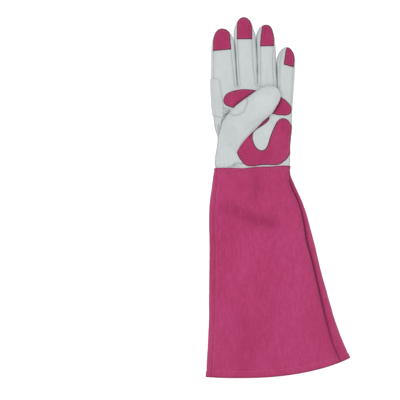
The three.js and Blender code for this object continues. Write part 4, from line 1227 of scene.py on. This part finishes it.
def one_stitch():
    """One stitch lying along x: a short thread whose two ends go down into the leather."""
    bpy.ops.object.select_all(action="DESELECT")
    bpy.ops.mesh.primitive_cylinder_add(
        vertices=6, radius=STITCH_THICK / 2, depth=STITCH_LONG, end_fill_type="NOTHING",
        rotation=(0, math.pi / 2, 0),
    )
    thread = bpy.context.object
    bpy.ops.object.transform_apply()
    work = bmesh.new()
    work.from_mesh(thread.data)
    lengthwise = [e for e in work.edges if e.calc_length() > STITCH_LONG / 2]
    bmesh.ops.subdivide_edges(work, edges=lengthwise, cuts=3)
    for v in work.verts:
        towards_end = (abs(v.co.x) / (STITCH_LONG / 2)) ** 3
        v.co.yz *= 1 - STITCH_TAPER * towards_end
        v.co.z -= STITCH_SINK * towards_end
    points = np.array([v.co[:] for v in work.verts])
    faces = np.array([[v.index for v in f.verts] for f in work.faces])
    work.free()
    bpy.data.objects.remove(thread)
    return points, faces


stitch_points, stitch_faces = one_stitch()


def sewn_line(name, places, runs, facings, material, long=1.0):
    """Stitches at places, each along its run and lying on the leather that faces as given."""
    points, faces = [], []
    for place, run, facing in zip(places, runs, facings):
        facing = facing / np.linalg.norm(facing)
        run = run - facing * (run @ facing)
        run /= np.linalg.norm(run)
        turned = np.stack([run * long, np.cross(facing, run), facing])
        faces.append(stitch_faces + len(points) * len(stitch_points))
        points.append(stitch_points @ turned + place + facing * STITCH_LIFT)
    thread = mesh_object(name, np.concatenate(points), np.concatenate(faces).tolist())
    thread.data.shade_smooth()
    dress(thread, material)


def stitched_on(name, line, thing, material, from_above=False):
    """A line of stitches on the face of a piece, at its nearest place or straight below the line."""
    tree = form_of(thing)[0]
    run = run_along(line)
    number = max(int(run[-1] / STITCH_PITCH), 1)
    middles = (np.arange(number) + 0.5) * run[-1] / number
    spots = read_off(line, run, middles)
    runs = read_off(line, run, middles + 0.6) - read_off(line, run, middles - 0.6)
    if from_above:
        hits = [tree.ray_cast(Vector((x, y, SKY)), DOWN) for x, y, _ in spots]
    else:
        hits = [tree.find_nearest(Vector(spot)) for spot in spots]
    found = [k for k, hit in enumerate(hits) if hit[0]]
    places, facings = (np.array([hits[k][part][:] for k in found]) for part in (0, 1))
    sewn_line(name, places, runs[found], facings, material)


def drawn_in(line, depth, free):
    """The free part of a closed line, moved in from its place; a whole one is closed again."""
    inner = line + inward_of(line, 3) * depth
    keep = free & (distance_to(grounded(line), grounded(inner)) > depth * 0.85)
    inner = grounded(inner[keep])
    return np.concatenate([inner, inner[:1]]) if free.all() else inner


for pad, line, free in pads:
    thread = goatskin if pad.data.materials[0] is goatskin else pink_thread
    stitched_on(f"stitches_{pad.name}", drawn_in(line, EDGE_STITCH, free), pad, thread, from_above=True)
side_run = np.concatenate([side_net[3:-3, 3], side_net[-4, 3:-2]])
stitched_on("stitches_side_patch", side_run, side_patch, goatskin)

# the cuff: hem, wrist edge, and beside the side seam
for panel, net, which in ((front_cuff, front_net, "palm"), (back_cuff, back_net, "back")):
    run = run_down(net)
    hem, wrist_edge = (int(np.argmin(np.abs(run - at))) for at in (run[-1] - HEM_STITCH, WRIST_STITCH))
    stitched_on(f"stitches_hem_{which}", net[hem, 1:-1], panel, pink_thread)
    stitched_on(f"stitches_wrist_edge_{which}", net[wrist_edge, 1:-1], panel, pink_thread)
beside = [read_off(ring, run_along(ring), [SIDE_SEAM_STITCH])[0] for ring in front_net[4:-4]]
stitched_on("stitches_side_seam", np.array(beside), front_cuff, pink_thread)

# the zigzag that holds the elastic across the back of the wrist
zigzag_y = ZIGZAG_Y + ZIGZAG_HALF * (-1.0) ** np.arange(len(ZIGZAG_X))
zigzag = np.column_stack([ZIGZAG_X, zigzag_y, np.full(len(ZIGZAG_X), -20)])
hits = [hand_form[0].ray_cast(Vector(spot), Vector((0, 0, 1))) for spot in (zigzag[1:] + zigzag[:-1]) / 2]
zigzag_facings = [np.array(facing) * -np.sign(facing.z) for _, facing, *_ in hits]
sewn_line(
    "stitches_wrist_elastic", [np.array(hit[0]) for hit in hits], np.diff(zigzag, axis=0), zigzag_facings,
    goatskin, long=1.5,
)


# Floor, light and camera.
# A plain pale floor under soft even light from above, seen straight down through a long lens, as
# the glove lies in the photograph.
PICTURE_WIDTH = 0.520  # metres across the photograph at the glove's height
PICTURE_MIDDLE = (-0.1011, -0.0038)  # the place straight below the camera
LENS, SENSOR = 150, 36
GLOVE_HEIGHT = 0.012
bpy.ops.object.select_all(action="DESELECT")
bpy.ops.mesh.primitive_grid_add(x_subdivisions=8, y_subdivisions=8, size=6, location=(0, 0, -0.0006))
floor_sheet = bpy.context.object
floor_sheet.name = "floor"
paper = bpy.data.materials.new("pale_paper")
paper.use_nodes = True
paper_nodes = paper.node_tree
mottle = node_in(paper_nodes, "TexNoise", {"Scale": 3}).outputs["Fac"]
paper_tone = node_in(paper_nodes, "ValToRGB", {"Fac": mottle})
for element, grey in zip(paper_tone.color_ramp.elements, (0.5, 0.53)):
    element.color = (grey, grey, grey, 1)
feed(paper_nodes, paper_nodes.nodes["Principled BSDF"], {
    "Base Color": paper_tone.outputs["Color"], "Roughness": 0.95, "Specular IOR Level": 0.1,
    "Emission Color": (1, 1, 1, 1), "Emission Strength": 0.78,
})
floor_sheet.data.materials.append(paper)

world = bpy.data.worlds.new("soft_room")
bpy.context.scene.world = world
world.use_nodes = True
feed(world.node_tree, world.node_tree.nodes["Background"], {"Color": (1, 1, 1, 1), "Strength": 0.42})
lamp = bpy.data.lights.new("overhead_softbox", "AREA")
lamp.size = 1.1
lamp.energy = 16
softbox = bpy.data.objects.new("overhead_softbox", lamp)
softbox.location = (-0.14, 0.08, 1.6)
softbox.rotation_euler = (Vector((-0.05, 0, 0)) - softbox.location).to_track_quat("-Z", "Y").to_euler()
bpy.context.collection.objects.link(softbox)

lens = bpy.data.cameras.new("camera")
lens.lens = LENS
lens.sensor_width = SENSOR
camera = bpy.data.objects.new("camera", lens)
camera.location = (*PICTURE_MIDDLE, GLOVE_HEIGHT + PICTURE_WIDTH * LENS / SENSOR)
bpy.context.collection.objects.link(camera)
bpy.context.scene.camera = camera
bpy.context.scene.view_settings.view_transform = "Standard"
bpy.context.scene.view_settings.look = "None"
